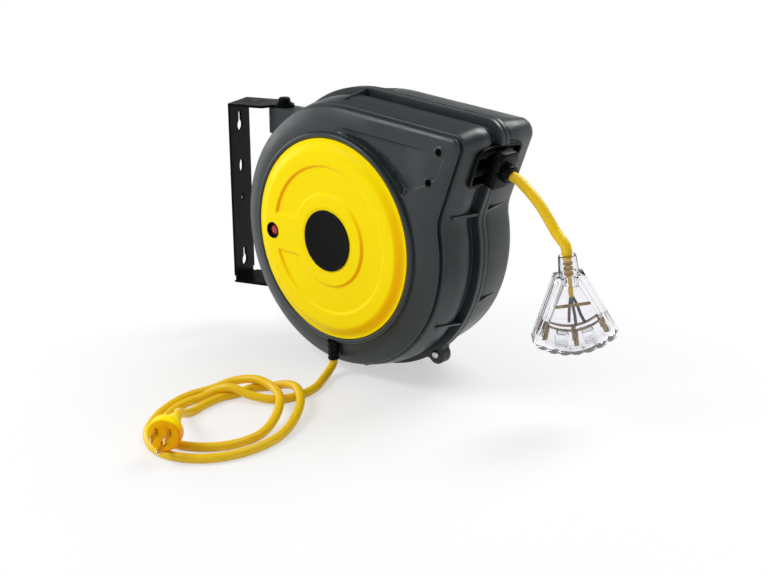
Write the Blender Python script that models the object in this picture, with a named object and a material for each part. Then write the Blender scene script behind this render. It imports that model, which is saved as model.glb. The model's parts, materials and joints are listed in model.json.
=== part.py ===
"""Retractable extension cord reel on a swivelling wall bracket, in metres, +Z up.

The drum turns on an axle along Y. The yellow cover faces -Y and the cord leaves towards +X.
The origin is the centre of the bracket's wall face. Lengths below are measured from the reel
frame, an empty at the drum axis in the plane of the cover's rim.
"""
import math

import bmesh
import bpy
from mathutils import Matrix, Vector

# ---------------------------------------------------------------- driving dimensions
GAP = 0.0003                  # kept between two pieces that touch

BODY_R = 0.1400               # round part of the housing at its front edge
TOP_TILT = math.radians(4.0)  # fall of the nose's top face
END_LEAN = math.radians(20.0)  # lean of the nose's end face
END_DIST = 0.1133             # drum axis to the end face, along its normal
NOSE_CORNER_R = 0.0100
PANEL_RIM = 0.0185               # band left between the nose's top face and its sunk panel
PANEL_END = 0.0110               # band left between the end face and the panel
PANEL_DEPTH = 0.0042             # depth of the panel beside the cover's ring
PANEL_RUN_OUT = 0.2000           # share of that depth left at the panel's far end
PANEL_WALL = 0.0018              # width of the panel's sloped wall
RIB_ANGLE = math.radians(32.5)   # polar angle of the rib that ends the panel below
RIB_HALF = math.radians(0.7)
PANEL_FADE = math.radians(20.0)  # angle over which the panel fades out below the top wedge
PANEL_NEAR_X = 0.0700            # where the panel starts to run out towards the screws
PANEL_RUN_LENGTH = 0.0550
FLANK_Y = 0.0042                 # flank beside the cover's ring
FLANK_EDGE_INSET = 0.0040
FLANK_RIM_DROP = 0.0014
RING_FOOT = 0.0006
TINY = 1e-6
NOSE_BLEND_R = 0.0450         # hollow blend from the end face into the round part
WALL = 0.0030

FRONT_Y = 0.0110              # front edge of the housing
SEAM_Y = 0.0680               # where the two shells meet
BACK_Y = 0.1250               # rear edge of the housing
BACK_FACE_Y = 0.1320          # flat rear face
SEAM_BULGE = 0.0070           # how far the side walls swell towards the seam
BACK_BULGE = 0.0040
LIP_HEIGHT = 0.0130           # seam lip above the front edge's outline
LIP_WIDTH = 0.0060
REAR_FACE_INSET = 0.0140
REAR_BOSS_R = 0.0300
REAR_BOSS_HEIGHT = 0.0040
CREASE_DEPTH = 0.0022            # groove between the front flank and the side band
FIN_LENGTH = 0.0280
FIN_THICK = 0.0030
FRONT_FINS = (91.5, 18.5, -31.0, -80.0, -150.0)   # polar angles of the gusset fins, in degrees
REAR_FINS = (91.5, 18.5, -22.5, -80.0, -150.0)

COVER_R = 0.1080
COVER_PLATEAU_R = 0.0900
COVER_RISE = 0.0050           # plateau ahead of the rim
COVER_THICK = 0.0030
COVER_INNER_Y = 0.0030        # back of the cover at the foot of its slope
COVER_SKIRT = 0.0050          # depth of the cover's rim behind its front plane
CHANNEL_OUTER_R = 0.0810
CHANNEL_INNER_R = 0.0480
CHANNEL_DEPTH = 0.0015
CHANNEL_HALF_GAP = math.radians(20.0)
RING_R = 0.1140               # bead round the cover
RING_RISE = 0.0010
LABEL_R = 0.0330
LABEL_THICK = 0.0012

BUTTON_X = 0.0240 - COVER_R       # the button stands in from the cover's rim
BUTTON_Z = -0.0045
BUTTON_R = 0.0055
BUTTON_COLLAR_R = 0.0088
BUTTON_SUNK = 0.0014              # dome below the cover's plateau
BUTTON_WELL = 0.0030              # well round the button, and the rim left round the well
BUTTON_WELL_RIM = 0.0009
BUTTON_TRAVEL = 0.0020
BREAKER_SIZE = (0.0300, 0.0120, 0.0360)

AXLE_R = 0.0080
AXLE_HEAD_R = 0.0130
AXLE_NUT_HEIGHT = 0.0065
DRUM_FRONT_Y = 0.0300
DRUM_BACK_Y = 0.1120
DRUM_FLANGE_R = 0.1250
DRUM_FLANGE_THICK = 0.0030
DRUM_HUB_R = 0.0580
DRUM_HUB_WALL = 0.0030
BUSH_R = 0.0130
BUSH_FLANGE_R = 0.0170
BUSH_FLANGE_THICK = 0.0025
CORD_PACK_R = 0.1050          # outside of the cord wound on the drum

SPRING_WIDTH = 0.0300
SPRING_TURNS = 6
SPRING_BAND = 0.0010
SPRING_INNER_R = 0.0150
SPRING_BACK_Y = 0.1030
SPRING_ARBOR_R = SPRING_INNER_R - GAP
SPRING_OUTER_R = DRUM_HUB_R - DRUM_HUB_WALL - SPRING_BAND - GAP

RATCHET_R = 0.0640
RATCHET_TOOTH = 0.0060
RATCHET_HOLE_R = BUSH_FLANGE_R + 0.0100
RATCHET_TEETH = 16
RATCHET_THICK = 0.0040
PAWL_ANGLE = math.radians(150.0)
PAWL_PIVOT_R = 0.0860
PAWL_THICK = 0.0036
PAWL_POST_R = 0.0030
PAWL_EYE_R = 0.0065

SLIP_PLATE_R = 0.0460
SLIP_PLATE_THICK = 0.0030
SLIP_RING_RADII = (0.0220, 0.0300, 0.0380)
SLIP_RING_WIDTH = 0.0030
SLIP_RING_THICK = 0.0012
BRUSH_WIDTH = 0.0026
BRUSH_HEIGHT = 0.0060
HOLDER_ROOT_R = 0.0150
HOLDER_TIP_R = 0.0080

MOUTH_HALF_WIDTH = 0.0330
MOUTH_HALF_HEIGHT = 0.0190
MOUTH_Z = 0.0980
MOUTH_CORNER_R = 0.0050
GUIDE_SIDE_WALL = 0.0045
GUIDE_TOP_WALL = 0.0030
GUIDE_LIP = 0.0022
GUIDE_LIP_THICK = 0.0025
GUIDE_DEPTH = 0.0225
ROLLER_R = 0.0040
ROLLER_PIN_R = 0.0020

ROLLER_CLEARANCE = 0.0007     # roller to cord
ROLLER_END_GAP = 0.0005

RELIEF_X = 0.0015
RELIEF_Y = 0.0012
RELIEF_R = 0.0072
RELIEF_TIP_R = 0.0060
RELIEF_LENGTH = 0.0210
RELIEF_RIBS = 3
RELIEF_GROOVE = 0.0010
RELIEF_TOP = 0.0265 - BODY_R
RELIEF_END = RELIEF_TOP - RELIEF_LENGTH

CORD_D = 0.0105
LEAD_D = 0.0092
STOPPER_HALF_WIDTH = 0.0150
STOPPER_HALF_HEIGHT = 0.0205
STOPPER_CORNER_R = 0.0060
STOPPER_PLATE = 0.0125           # thickness of the block that stops against the guide
STOPPER_SLEEVE_R = 0.0098
STOPPER_SLEEVE = 0.0080
STOPPER_CHAMFER = 0.0012

PIVOT_X = 0.0010 - BODY_R
EAR_TOP_Z = 0.1150
EAR_BOTTOM_Z = -0.0920
EAR_HEIGHT = 0.0300
EAR_HALF_DEPTH = 0.0140
EAR_OUTER_R = 0.0115
SWIVEL_REST = math.radians(21.0)
ARM_REACH = 0.0605            # pivot to the wall face
ARM_END_R = 0.0115
ARM_SHOULDER = 0.0180         # from the pivot back to where the arm is full width
WALL_POINT_Z = -0.0250        # height of the origin on the wall face, from the drum axis
BRACKET_WIDTH = 0.0460
BRACKET_THICK = 0.0030
BOLT_R = 0.0040
WASHER_R = 0.0085
WASHER_THICK = 0.0016
BOLT_HEAD_R = 0.0068
BOLT_HEAD_HEIGHT = 0.0050
INSERT_R = 0.0068             # threaded insert moulded into each ear
INSERT_LENGTH = 0.0200
KEYHOLE_R = 0.0065
KEYHOLE_SLOT_R = 0.0035
KEYHOLE_DROP = 0.0130
KEYHOLE_UPPER_Z = 0.1030
KEYHOLE_LOWER_Z = -0.0600
OVAL_Z = 0.0420
OVAL_HALF_WIDTH = 0.0050
OVAL_STRETCH = 1.6

MID_KEYHOLE_Z = 0.0090
MID_KEYHOLE_R = 0.0032
MID_KEYHOLE_SLOT_R = 0.0014
MID_KEYHOLE_DROP = 0.0058
BEND_RELIEF = 0.0060

NOSE_SCREW_ANGLES = {"upper": math.radians(38.9), "lower": math.radians(32.4)}
NOSE_SCREW_INSET = 0.0195        # from the end face in to the nose screws
NOSE_SCREW_SINK = 0.0070
TAB_ANGLE = math.radians(51.8)   # below the horizontal, on either side
TAB_R = 0.0110
BOSS_R = 0.0060
SCREW_R = 0.0018
NOSE_HEAD_R = 0.0032
TAB_HEAD_R = 0.0042
SCREW_HEAD_HEIGHT = 0.0026

ARC_STEPS = 30                # points round the housing's round part
TURN_STEPS = 36               # facets of a turned piece

TAB_SCREW_R = BODY_R + LIP_HEIGHT + 0.0020
TAB_SCREWS = {"right": (TAB_SCREW_R * math.cos(TAB_ANGLE), -TAB_SCREW_R * math.sin(TAB_ANGLE)),
              "left": (-TAB_SCREW_R * math.cos(TAB_ANGLE), -TAB_SCREW_R * math.sin(TAB_ANGLE))}
REEL_ORIGIN = Vector((ARM_REACH * math.cos(SWIVEL_REST) - PIVOT_X,
                      ARM_REACH * math.sin(SWIVEL_REST) - SEAM_Y,
                      -WALL_POINT_Z))
END_NORMAL = Vector((math.cos(END_LEAN), 0, -math.sin(END_LEAN)))
END_UP = Vector((math.sin(END_LEAN), 0, math.cos(END_LEAN)))


# ---------------------------------------------------------------- general helpers
def clear_scene():
    for obj in list(bpy.data.objects):
        bpy.data.objects.remove(obj, do_unlink=True)


def material(name, colour, roughness, metallic=0.0, transmission=0.0):
    mat = bpy.data.materials.get(name)
    if mat is None:
        mat = bpy.data.materials.new(name)
        mat.use_nodes = True
        shader = mat.node_tree.nodes["Principled BSDF"]
        shader.inputs["Base Color"].default_value = (*colour, 1.0)
        shader.inputs["Roughness"].default_value = roughness
        shader.inputs["Metallic"].default_value = metallic
        shader.inputs["Transmission Weight"].default_value = transmission
    return mat


def grey_plastic():
    return material("grey_plastic", (0.115, 0.125, 0.130), 0.42)


def yellow_plastic():
    return material("yellow_plastic", (0.90, 0.72, 0.02), 0.38)


def black_plastic():
    return material("black_plastic", (0.020, 0.020, 0.022), 0.45)


def black_steel():
    return material("black_steel", (0.025, 0.025, 0.027), 0.35, 0.6)


def zinc_steel():
    return material("zinc_steel", (0.62, 0.62, 0.60), 0.30, 1.0)


def spring_steel():
    return material("spring_steel", (0.35, 0.37, 0.42), 0.35, 1.0)


def brass():
    return material("brass", (0.78, 0.58, 0.24), 0.28, 1.0)


def copper_carbon():
    return material("copper_carbon", (0.16, 0.12, 0.10), 0.60)


def red_plastic():
    return material("red_plastic", (0.62, 0.02, 0.03), 0.35)


def cord_jacket():
    return material("cord_jacket", (0.88, 0.66, 0.02), 0.45)


def clear_plastic():
    return material("clear_plastic", (0.92, 0.94, 0.95), 0.08, 0.0, 0.9)


def add_object(name, mesh, mat, parent, location=(0, 0, 0), rotation=None, smooth=30.0):
    obj = bpy.data.objects.new(name, mesh)
    bpy.context.scene.collection.objects.link(obj)
    obj.parent = parent
    obj.location = location
    if rotation is not None:
        obj.rotation_euler = rotation.to_euler()
    if mat is not None:
        mesh.materials.append(mat)
    if smooth:
        mesh.shade_smooth()
        mesh.set_sharp_from_angle(angle=math.radians(smooth))
    return obj


def mesh_from(name, bm):
    bmesh.ops.recalc_face_normals(bm, faces=bm.faces)
    mesh = bpy.data.meshes.new(name)
    bm.to_mesh(mesh)
    bm.free()
    return mesh


def loft_mesh(name, rings, closed):
    """Skin rings of equal length. A closed loft joins the last ring to the first."""
    bm = bmesh.new()
    rows = [[bm.verts.new(p) for p in ring] for ring in rings]
    pairs = list(zip(rows, rows[1:]))
    if closed:
        pairs.append((rows[-1], rows[0]))
    else:
        bm.faces.new(rows[0])
        bm.faces.new(rows[-1])
    count = len(rows[0])
    for low, high in pairs:
        for i in range(count):
            j = (i + 1) % count
            bm.faces.new((low[i], low[j], high[j], high[i]))
    return mesh_from(name, bm)


def turned_mesh(name, profile, steps=TURN_STEPS):
    """Turn a profile of (radius, y) points about the Y axis; points at radius 0 close it."""
    bm = bmesh.new()
    rows = []
    for radius, y in profile:
        if radius == 0:
            rows.append([bm.verts.new((0, y, 0))])
        else:
            angles = [2 * math.pi * k / steps for k in range(steps)]
            rows.append([bm.verts.new((radius * math.cos(a), y, radius * math.sin(a))) for a in angles])
    on_axis = profile[0][0] == 0 and profile[-1][0] == 0
    pairs = list(zip(rows, rows[1:]))
    if not on_axis:
        pairs.append((rows[-1], rows[0]))
    for low, high in pairs:
        for k in range(steps):
            n = (k + 1) % steps
            if len(low) == 1:
                bm.faces.new((low[0], high[n], high[k]))
            elif len(high) == 1:
                bm.faces.new((low[k], low[n], high[0]))
            else:
                bm.faces.new((low[k], low[n], high[n], high[k]))
    return mesh_from(name, bm)


def plate_mesh(name, outline, low, high):
    """Extrude an outline of (x, z) points along Y from low to high."""
    rings = [[(x, y, z) for x, z in outline] for y in (low, high)]
    return loft_mesh(name, rings, False)


def box_mesh(name, size, centre=(0, 0, 0)):
    bm = bmesh.new()
    bmesh.ops.create_cube(bm, size=1.0)
    bmesh.ops.transform(bm, matrix=Matrix.Translation(centre) @ Matrix.Diagonal((*size, 1)), verts=bm.verts)
    return mesh_from(name, bm)


def rod_mesh(name, radius, low, high, steps=24):
    return turned_mesh(name, [(0, low), (radius, low), (radius, high), (0, high)], steps)


def hex_nut_mesh(name, bore, corner_r, low, high):
    """Hexagonal nut along Y, with a round bore."""
    angles = [math.pi / 12 * k for k in range(24)]
    flat_r = corner_r * math.cos(math.pi / 6)
    hexagon = [flat_r / math.cos(a % (math.pi / 3) - math.pi / 6) for a in angles]

    def ring(radii, y):
        return [(r * math.cos(a), y, r * math.sin(a)) for r, a in zip(radii, angles)]

    round_hole = [bore / math.cos(math.pi / 24)] * 24
    rings = [ring(round_hole, low), ring(hexagon, low), ring(hexagon, high), ring(round_hole, high)]
    return loft_mesh(name, rings, True)


def arc(cx, cz, radius, start, end, steps):
    """Points on an arc in the XZ plane, both ends included."""
    angles = [start + (end - start) * k / steps for k in range(steps + 1)]
    return [(cx + radius * math.cos(a), cz + radius * math.sin(a)) for a in angles]


def rounded_outline(half_width, half_height, radius, steps=4):
    """Rectangle with round corners, as (x, z) points."""
    points = []
    for side_x, side_z, quarter in ((1, 1, 0), (-1, 1, 1), (-1, -1, 2), (1, -1, 3)):
        points += arc(side_x * (half_width - radius), side_z * (half_height - radius), radius,
                      quarter * math.pi / 2, (quarter + 1) * math.pi / 2, steps)
    return points


def boolean(obj, cutter, operation="DIFFERENCE"):
    cutter.hide_render = True
    cutter.display_type = "WIRE"
    mod = obj.modifiers.new(f"{operation.lower()} {cutter.name}", "BOOLEAN")
    mod.operation = operation
    mod.solver = "EXACT"
    mod.object = cutter


def upright(angle=0.0):
    """Rotation that stands a piece built along Y upright along +Z."""
    return Matrix.Rotation(angle, 3, "Z") @ Matrix.Rotation(math.pi / 2, 3, "X")


# ---------------------------------------------------------------- housing outline
def nose_geometry():
    """Centres and angles of the arcs that join the round part, end face and top face."""
    top = math.pi / 2 - TOP_TILT
    end = -END_LEAN
    reach = BODY_R + NOSE_BLEND_R
    turn = math.acos((END_DIST + NOSE_BLEND_R) / reach)
    blend_angle = end + turn
    blend = (reach * math.cos(blend_angle), reach * math.sin(blend_angle))
    inner_end, inner_top = END_DIST - NOSE_CORNER_R, BODY_R - NOSE_CORNER_R
    determinant = math.sin(top - end)
    corner = ((inner_end * math.sin(top) - inner_top * math.sin(end)) / determinant,
              (inner_top * math.cos(end) - inner_end * math.cos(top)) / determinant)
    return top, end, blend_angle, blend, corner


def housing_edge():
    """Points and outward normals round the housing's front edge, with no offset."""
    top, end, blend_angle, blend, corner = nose_geometry()
    edge = []

    def add(x, z, angle):
        edge.append((x, z, math.cos(angle), math.sin(angle)))

    for x, z in arc(0, 0, BODY_R, top, blend_angle + 2 * math.pi, ARC_STEPS):
        add(x, z, math.atan2(z, x))
    blend_from, blend_to = blend_angle + math.pi, end + math.pi
    for k in range(1, 6):
        a = blend_from + (blend_to - blend_from) * k / 5
        add(blend[0] + NOSE_BLEND_R * math.cos(a), blend[1] + NOSE_BLEND_R * math.sin(a), a + math.pi)
    corner_points = arc(*corner, NOSE_CORNER_R, end, top, 7)
    low_angle = math.atan2(edge[-1][1], edge[-1][0])
    corner_angle = math.atan2(corner_points[0][1], corner_points[0][0])
    for angle in (low_angle + (RIB_ANGLE - low_angle) / 2, RIB_ANGLE - RIB_HALF, RIB_ANGLE + RIB_HALF,
                  (RIB_ANGLE + corner_angle) / 2):
        reach = END_DIST / math.cos(angle - end)
        add(reach * math.cos(angle), reach * math.sin(angle), end)
    for k, (x, z) in enumerate(corner_points):
        add(x, z, end + (top - end) * k / 7)
    first, last = edge[0], edge[-1]
    for k in range(1, 8):
        add(last[0] + (first[0] - last[0]) * k / 8, last[1] + (first[1] - last[1]) * k / 8, top)
    return edge


def outline_ring(offset, y):
    return [(x + nx * offset, y, z + nz * offset) for x, z, nx, nz in housing_edge()]


def inset_ring(inset, y):
    """The housing's edge drawn in towards the drum axis, which keeps its corners whole."""
    ring = []
    for x, z, _, _ in housing_edge():
        scale = 1 - inset / math.hypot(x, z)
        ring.append((x * scale, y, z * scale))
    return ring


def circle_ring(radius, y):
    """A circle with one point at the polar angle of each point of the housing's edge."""
    angles = [math.atan2(z, x) for x, z, _, _ in housing_edge()]
    return [(radius * math.cos(a), y, radius * math.sin(a)) for a in angles]


# ---------------------------------------------------------------- housing
COVER_SEAT_R = COVER_R + 2 * GAP
COVER_SEAT_Y = COVER_SKIRT + GAP
COVER_LEDGE_R = COVER_R - 0.005
GROOVE_OFFSET = SEAM_BULGE - 0.0025
LIP_Y = SEAM_Y - LIP_WIDTH
NOSE_HEAD_Y = FRONT_Y + NOSE_SCREW_SINK
GUIDE_SIDE_Y = SEAM_Y - MOUTH_HALF_WIDTH
NOSE_SCREW_END = {"upper": SEAM_Y + 0.0160, "lower": GUIDE_SIDE_Y - 2 * GAP}
NOSE_SCREWS = {place: ((END_DIST - NOSE_SCREW_INSET) / math.cos(angle + END_LEAN) * math.cos(angle),
                       (END_DIST - NOSE_SCREW_INSET) / math.cos(angle + END_LEAN) * math.sin(angle))
               for place, angle in NOSE_SCREW_ANGLES.items()}


def add_cutter(name, mesh, parent, location=(0, 0, 0), rotation=None):
    cutter = add_object(name, mesh, None, parent, location, rotation, smooth=0)
    cutter.hide_render = True
    cutter.display_type = "WIRE"
    return cutter


def end_face_point(distance, across, up):
    """A point given from the middle of the cord mouth: out of the end face, along Y and up it."""
    foot = END_NORMAL * (END_DIST + distance) + END_UP * mouth_rise()
    point = foot + END_UP * up
    return Vector((point.x, SEAM_Y + across, point.z))


def mouth_rise():
    """Distance along the end face from the foot of its normal to the middle of the mouth."""
    return (MOUTH_Z + END_NORMAL.z * -END_DIST) / END_UP.z


def end_face_turn():
    """Rotation that takes +X to the end face's normal."""
    return Matrix.Rotation(END_LEAN, 3, "Y")


def outward_turn():
    """Rotation that takes +Y out along the end face's normal."""
    return end_face_turn() @ Matrix.Rotation(-math.pi / 2, 3, "Z")


def mouth_block(name, grow, low, high):
    """Block with the mouth's outline grown by grow, from low to high out of the end face."""
    outline = rounded_outline(MOUTH_HALF_WIDTH + grow, MOUTH_HALF_HEIGHT + grow, MOUTH_CORNER_R + grow)
    return plate_mesh(name, outline, low, high)


def in_panel(angle):
    """Whether a ray at a polar angle crosses the nose's sunk panel, and with how much of its depth."""
    wedge = math.pi / 2 - TOP_TILT
    above_rib = (angle - RIB_ANGLE + RIB_HALF) / (2 * RIB_HALF)
    below_wedge = (wedge - angle) / PANEL_FADE
    return RIB_ANGLE - RIB_HALF - TINY < angle < wedge, max(0.0, min(1.0, above_rib, below_wedge))


def flank_ring(share, from_border, sink, lift=0.0):
    """A ring on the front flank, at a share of the way from the cover's ring to the outer edge.

    Over the nose's panel it is sunk by sink times the panel's depth and, where from_border is
    given, lies that far inside the panel's outer border. lift moves the whole ring back.
    """
    ring = []
    foot_r = RING_R + RING_FOOT
    for x, z, _, _ in housing_edge():
        angle, edge_r = math.atan2(z, x), math.hypot(x, z) - FLANK_EDGE_INSET
        radius, depth = foot_r + (edge_r - foot_r) * share, 0.0
        inside, part = in_panel(angle)
        if inside:
            if from_border is not None:
                rim = (BODY_R - PANEL_RIM) / math.cos(angle - math.pi / 2 + TOP_TILT)
                end = (END_DIST - PANEL_END) / max(TINY, math.cos(angle + END_LEAN))
                radius = min(rim, end) - from_border
            run = (radius * math.cos(angle) - PANEL_NEAR_X) / PANEL_RUN_LENGTH
            depth = PANEL_DEPTH * sink * part * (1 - (1 - PANEL_RUN_OUT) * max(0.0, min(1.0, run)))
        rise = (FRONT_Y - FLANK_RIM_DROP - FLANK_Y) * (radius - foot_r) / (edge_r - foot_r)
        ring.append((radius * math.cos(angle), FLANK_Y + rise + depth + lift, radius * math.sin(angle)))
    return ring


def front_shell_rings():
    mid_y = (FRONT_Y + SEAM_Y) / 2
    return [
        circle_ring(COVER_SEAT_R, COVER_SEAT_Y),
        circle_ring(COVER_SEAT_R, 0.0004),
        circle_ring(COVER_SEAT_R + 0.0014, -RING_RISE),
        circle_ring(RING_R - 0.0014, -RING_RISE),
        circle_ring(RING_R, 0.0006),
        circle_ring(RING_R + RING_FOOT, FLANK_Y),
        flank_ring(0.04, None, 1.0),
        flank_ring(0.45, PANEL_WALL, 1.0),
        flank_ring(0.60, 0.0, 0.0),
        inset_ring(FLANK_EDGE_INSET, FRONT_Y - FLANK_RIM_DROP),
        outline_ring(0, FRONT_Y + 0.0010),
        outline_ring(-CREASE_DEPTH, FRONT_Y + 0.0040),
        outline_ring(-CREASE_DEPTH, FRONT_Y + 0.0058),
        outline_ring(SEAM_BULGE * 0.30, FRONT_Y + 0.0072),
        outline_ring(SEAM_BULGE * 0.70, FRONT_Y + 0.0190),
        outline_ring(SEAM_BULGE * 0.92, mid_y),
        outline_ring(SEAM_BULGE, LIP_Y - 0.0060),
        outline_ring(GROOVE_OFFSET, LIP_Y - 0.0030),
        outline_ring(GROOVE_OFFSET, LIP_Y),
        outline_ring(LIP_HEIGHT - 0.0008, LIP_Y),
        outline_ring(LIP_HEIGHT, LIP_Y + 0.0008),
        outline_ring(LIP_HEIGHT, SEAM_Y - GAP / 2),
        outline_ring(GROOVE_OFFSET - WALL, SEAM_Y - GAP / 2),
        outline_ring(SEAM_BULGE * 0.92 - WALL, mid_y),
        outline_ring(-WALL - CREASE_DEPTH, FRONT_Y + 0.0080),
        outline_ring(-WALL - CREASE_DEPTH - 0.0020, FRONT_Y + WALL + 0.0010),
        flank_ring(0.55, -WALL / 2, 0.0, WALL),
        flank_ring(0.40, PANEL_WALL - WALL / 2, 1.0, WALL),
        flank_ring(-0.06, None, 1.0, WALL),
        circle_ring(COVER_LEDGE_R, COVER_SEAT_Y + WALL),
        circle_ring(COVER_LEDGE_R, COVER_SEAT_Y),
    ]


def rear_shell_rings():
    back_lip = SEAM_Y + LIP_WIDTH
    return [
        outline_ring(GROOVE_OFFSET - WALL, SEAM_Y + GAP / 2),
        outline_ring(LIP_HEIGHT, SEAM_Y + GAP / 2),
        outline_ring(LIP_HEIGHT, back_lip - 0.0008),
        outline_ring(LIP_HEIGHT - 0.0008, back_lip),
        outline_ring(GROOVE_OFFSET, back_lip),
        outline_ring(GROOVE_OFFSET, back_lip + 0.0030),
        outline_ring(SEAM_BULGE, back_lip + 0.0060),
        outline_ring(SEAM_BULGE, BACK_Y - 0.0250),
        outline_ring(BACK_BULGE, BACK_Y),
        outline_ring(BACK_BULGE - 0.0020, BACK_Y + 0.0020),
        inset_ring(REAR_FACE_INSET, BACK_FACE_Y),
        circle_ring(REAR_BOSS_R + 0.0030, BACK_FACE_Y),
        circle_ring(REAR_BOSS_R, BACK_FACE_Y + REAR_BOSS_HEIGHT),
        circle_ring(AXLE_R + GAP, BACK_FACE_Y + REAR_BOSS_HEIGHT),
        circle_ring(AXLE_R + GAP, BACK_FACE_Y - WALL),
        inset_ring(REAR_FACE_INSET + WALL, BACK_FACE_Y - WALL),
        outline_ring(BACK_BULGE - WALL - 0.0020, BACK_Y - 0.0010),
        outline_ring(SEAM_BULGE - WALL, BACK_Y - 0.0250),
        outline_ring(GROOVE_OFFSET - WALL, back_lip + 0.0060),
    ]


def ear_outline(bottom, top):
    """Ear for the bracket's pivot: out to the pivot's left, in to the housing's wall."""
    root_r = BODY_R + SEAM_BULGE - WALL
    low_angle = math.pi - math.asin(bottom / root_r)
    high_angle = math.pi - math.asin(top / root_r)
    root = arc(0, 0, root_r, high_angle, low_angle, 6)
    outer_x = PIVOT_X - EAR_OUTER_R
    return [*root, (outer_x, bottom), (outer_x, top)]


def ear_spans():
    return {"upper": (EAR_TOP_Z - EAR_HEIGHT, EAR_TOP_Z),
            "lower": (EAR_BOTTOM_Z, EAR_BOTTOM_Z + EAR_HEIGHT)}


def tab_outline(x, z):
    """Round tab on the seam lip, joined to it by straight flanks."""
    angle = math.atan2(z, x)
    root_r = BODY_R + SEAM_BULGE - WALL / 2
    spread = 2.2 * TAB_R / root_r
    root = arc(0, 0, root_r, angle + spread, angle - spread, 6)
    return [*root, *arc(x, z, TAB_R, angle - math.pi / 2, angle + math.pi / 2, 8)]


def fin_mesh(angle, side):
    """Gusset between the seam lip and the side band, on the side of the seam given by side."""
    x, z, nx, nz = min(housing_edge(), key=lambda p: abs(math.atan2(p[1], p[0]) - math.radians(angle)))
    lip, root, crest = SEAM_Y + side * LIP_WIDTH, GROOVE_OFFSET - GAP, LIP_HEIGHT - 0.0015
    outline = [(root, lip - side * 0.0010), (crest, lip - side * 0.0010), (crest, lip + side * 0.0030),
               (root + GAP, lip + side * FIN_LENGTH), (root, lip + side * FIN_LENGTH)]
    half = FIN_THICK / 2
    rings = [[(x + nx * offset - nz * across, y, z + nz * offset + nx * across) for offset, y in outline]
             for across in (-half, half)]
    return loft_mesh(f"fin {angle:.0f}", rings, False)


def add_screw_seats(shell, reel, side):
    """Bosses for the nose screws and tabs for the bottom screws, with their bores."""
    seam = SEAM_Y + side * GAP / 2
    lip_end = SEAM_Y + side * LIP_WIDTH
    for place, (x, z) in NOSE_SCREWS.items():
        if side < 0:
            boss = (FRONT_Y, seam if place == "upper" else GUIDE_SIDE_Y - GAP)
        elif place == "upper":
            boss = (seam, BACK_FACE_Y - WALL + 0.0008)
        else:
            continue
        mesh = rod_mesh("boss", BOSS_R, *boss, 16)
        boolean(shell, add_cutter(f"{shell.name} boss {place}", mesh, reel, (x, 0, z)), "UNION")
        head = NOSE_HEAD_Y + SCREW_HEAD_HEIGHT + GAP
        mesh = turned_mesh("bore", [(0, 0), (NOSE_HEAD_R + GAP, 0), (NOSE_HEAD_R + GAP, head),
                                    (SCREW_R + GAP, head), (SCREW_R + GAP, NOSE_SCREW_END[place] + GAP),
                                    (0, NOSE_SCREW_END[place] + GAP)], 16)
        boolean(shell, add_cutter(f"{shell.name} bore {place}", mesh, reel, (x, 0, z)))
    for place, (x, z) in TAB_SCREWS.items():
        mesh = plate_mesh("tab", tab_outline(x, z), min(seam, lip_end), max(seam, lip_end))
        boolean(shell, add_cutter(f"{shell.name} tab {place}", mesh, reel), "UNION")
        mesh = rod_mesh("tab bore", SCREW_R + GAP, LIP_Y - 0.002, SEAM_Y + LIP_WIDTH + 0.002, 16)
        boolean(shell, add_cutter(f"{shell.name} tab bore {place}", mesh, reel, (x, 0, z)))


def finish_shell(shell, reel, side):
    """Add the ears and cut the mouth and the pivot bores. side is -1 in front of the seam."""
    add_screw_seats(shell, reel, side)
    for angle in FRONT_FINS if side < 0 else REAR_FINS:
        boolean(shell, add_cutter(f"{shell.name} fin {angle:.0f}", fin_mesh(angle, side), reel), "UNION")
    seam = SEAM_Y + side * GAP / 2
    far = SEAM_Y + side * EAR_HALF_DEPTH
    for place, (bottom, top) in ear_spans().items():
        mesh = plate_mesh(f"ear {place}", ear_outline(bottom, top), min(seam, far), max(seam, far))
        boolean(shell, add_cutter(f"{shell.name} ear {place}", mesh, reel), "UNION")
        mouth, way = (top, -1) if place == "upper" else (bottom, 1)
        ends = sorted((mouth - way * 0.001, mouth + way * (INSERT_LENGTH + 2 * GAP)))
        bore = rod_mesh(f"bore {place}", INSERT_R + GAP, *ends)
        cutter = add_cutter(f"{shell.name} bore {place}", bore, reel, (PIVOT_X, SEAM_Y, 0), upright())
        boolean(shell, cutter)
    centre, turn = end_face_point(0, 0, 0), outward_turn()
    mouth = mouth_block("mouth", 0.0, SEAM_BULGE - GUIDE_DEPTH, SEAM_BULGE + GUIDE_DEPTH)
    boolean(shell, add_cutter(f"{shell.name} mouth", mouth, reel, centre, turn))
    seat = mouth_block("seat", GUIDE_LIP + GAP, SEAM_BULGE, SEAM_BULGE + GUIDE_DEPTH)
    boolean(shell, add_cutter(f"{shell.name} guide seat", seat, reel, centre, turn))


def make_housing(reel):
    front = add_object("front_shell", loft_mesh("front_shell", front_shell_rings(), True),
                       grey_plastic(), reel)
    finish_shell(front, reel, -1)
    rear = add_object("rear_shell", loft_mesh("rear_shell", rear_shell_rings(), True),
                      grey_plastic(), reel)
    finish_shell(rear, reel, 1)
    pocket = rod_mesh("relief pocket", RELIEF_R + GAP, RELIEF_END, RELIEF_TOP + GAP, 20)
    boolean(front, add_cutter("relief pocket", pocket, reel, (RELIEF_X, RELIEF_Y, 0), upright()))


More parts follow.
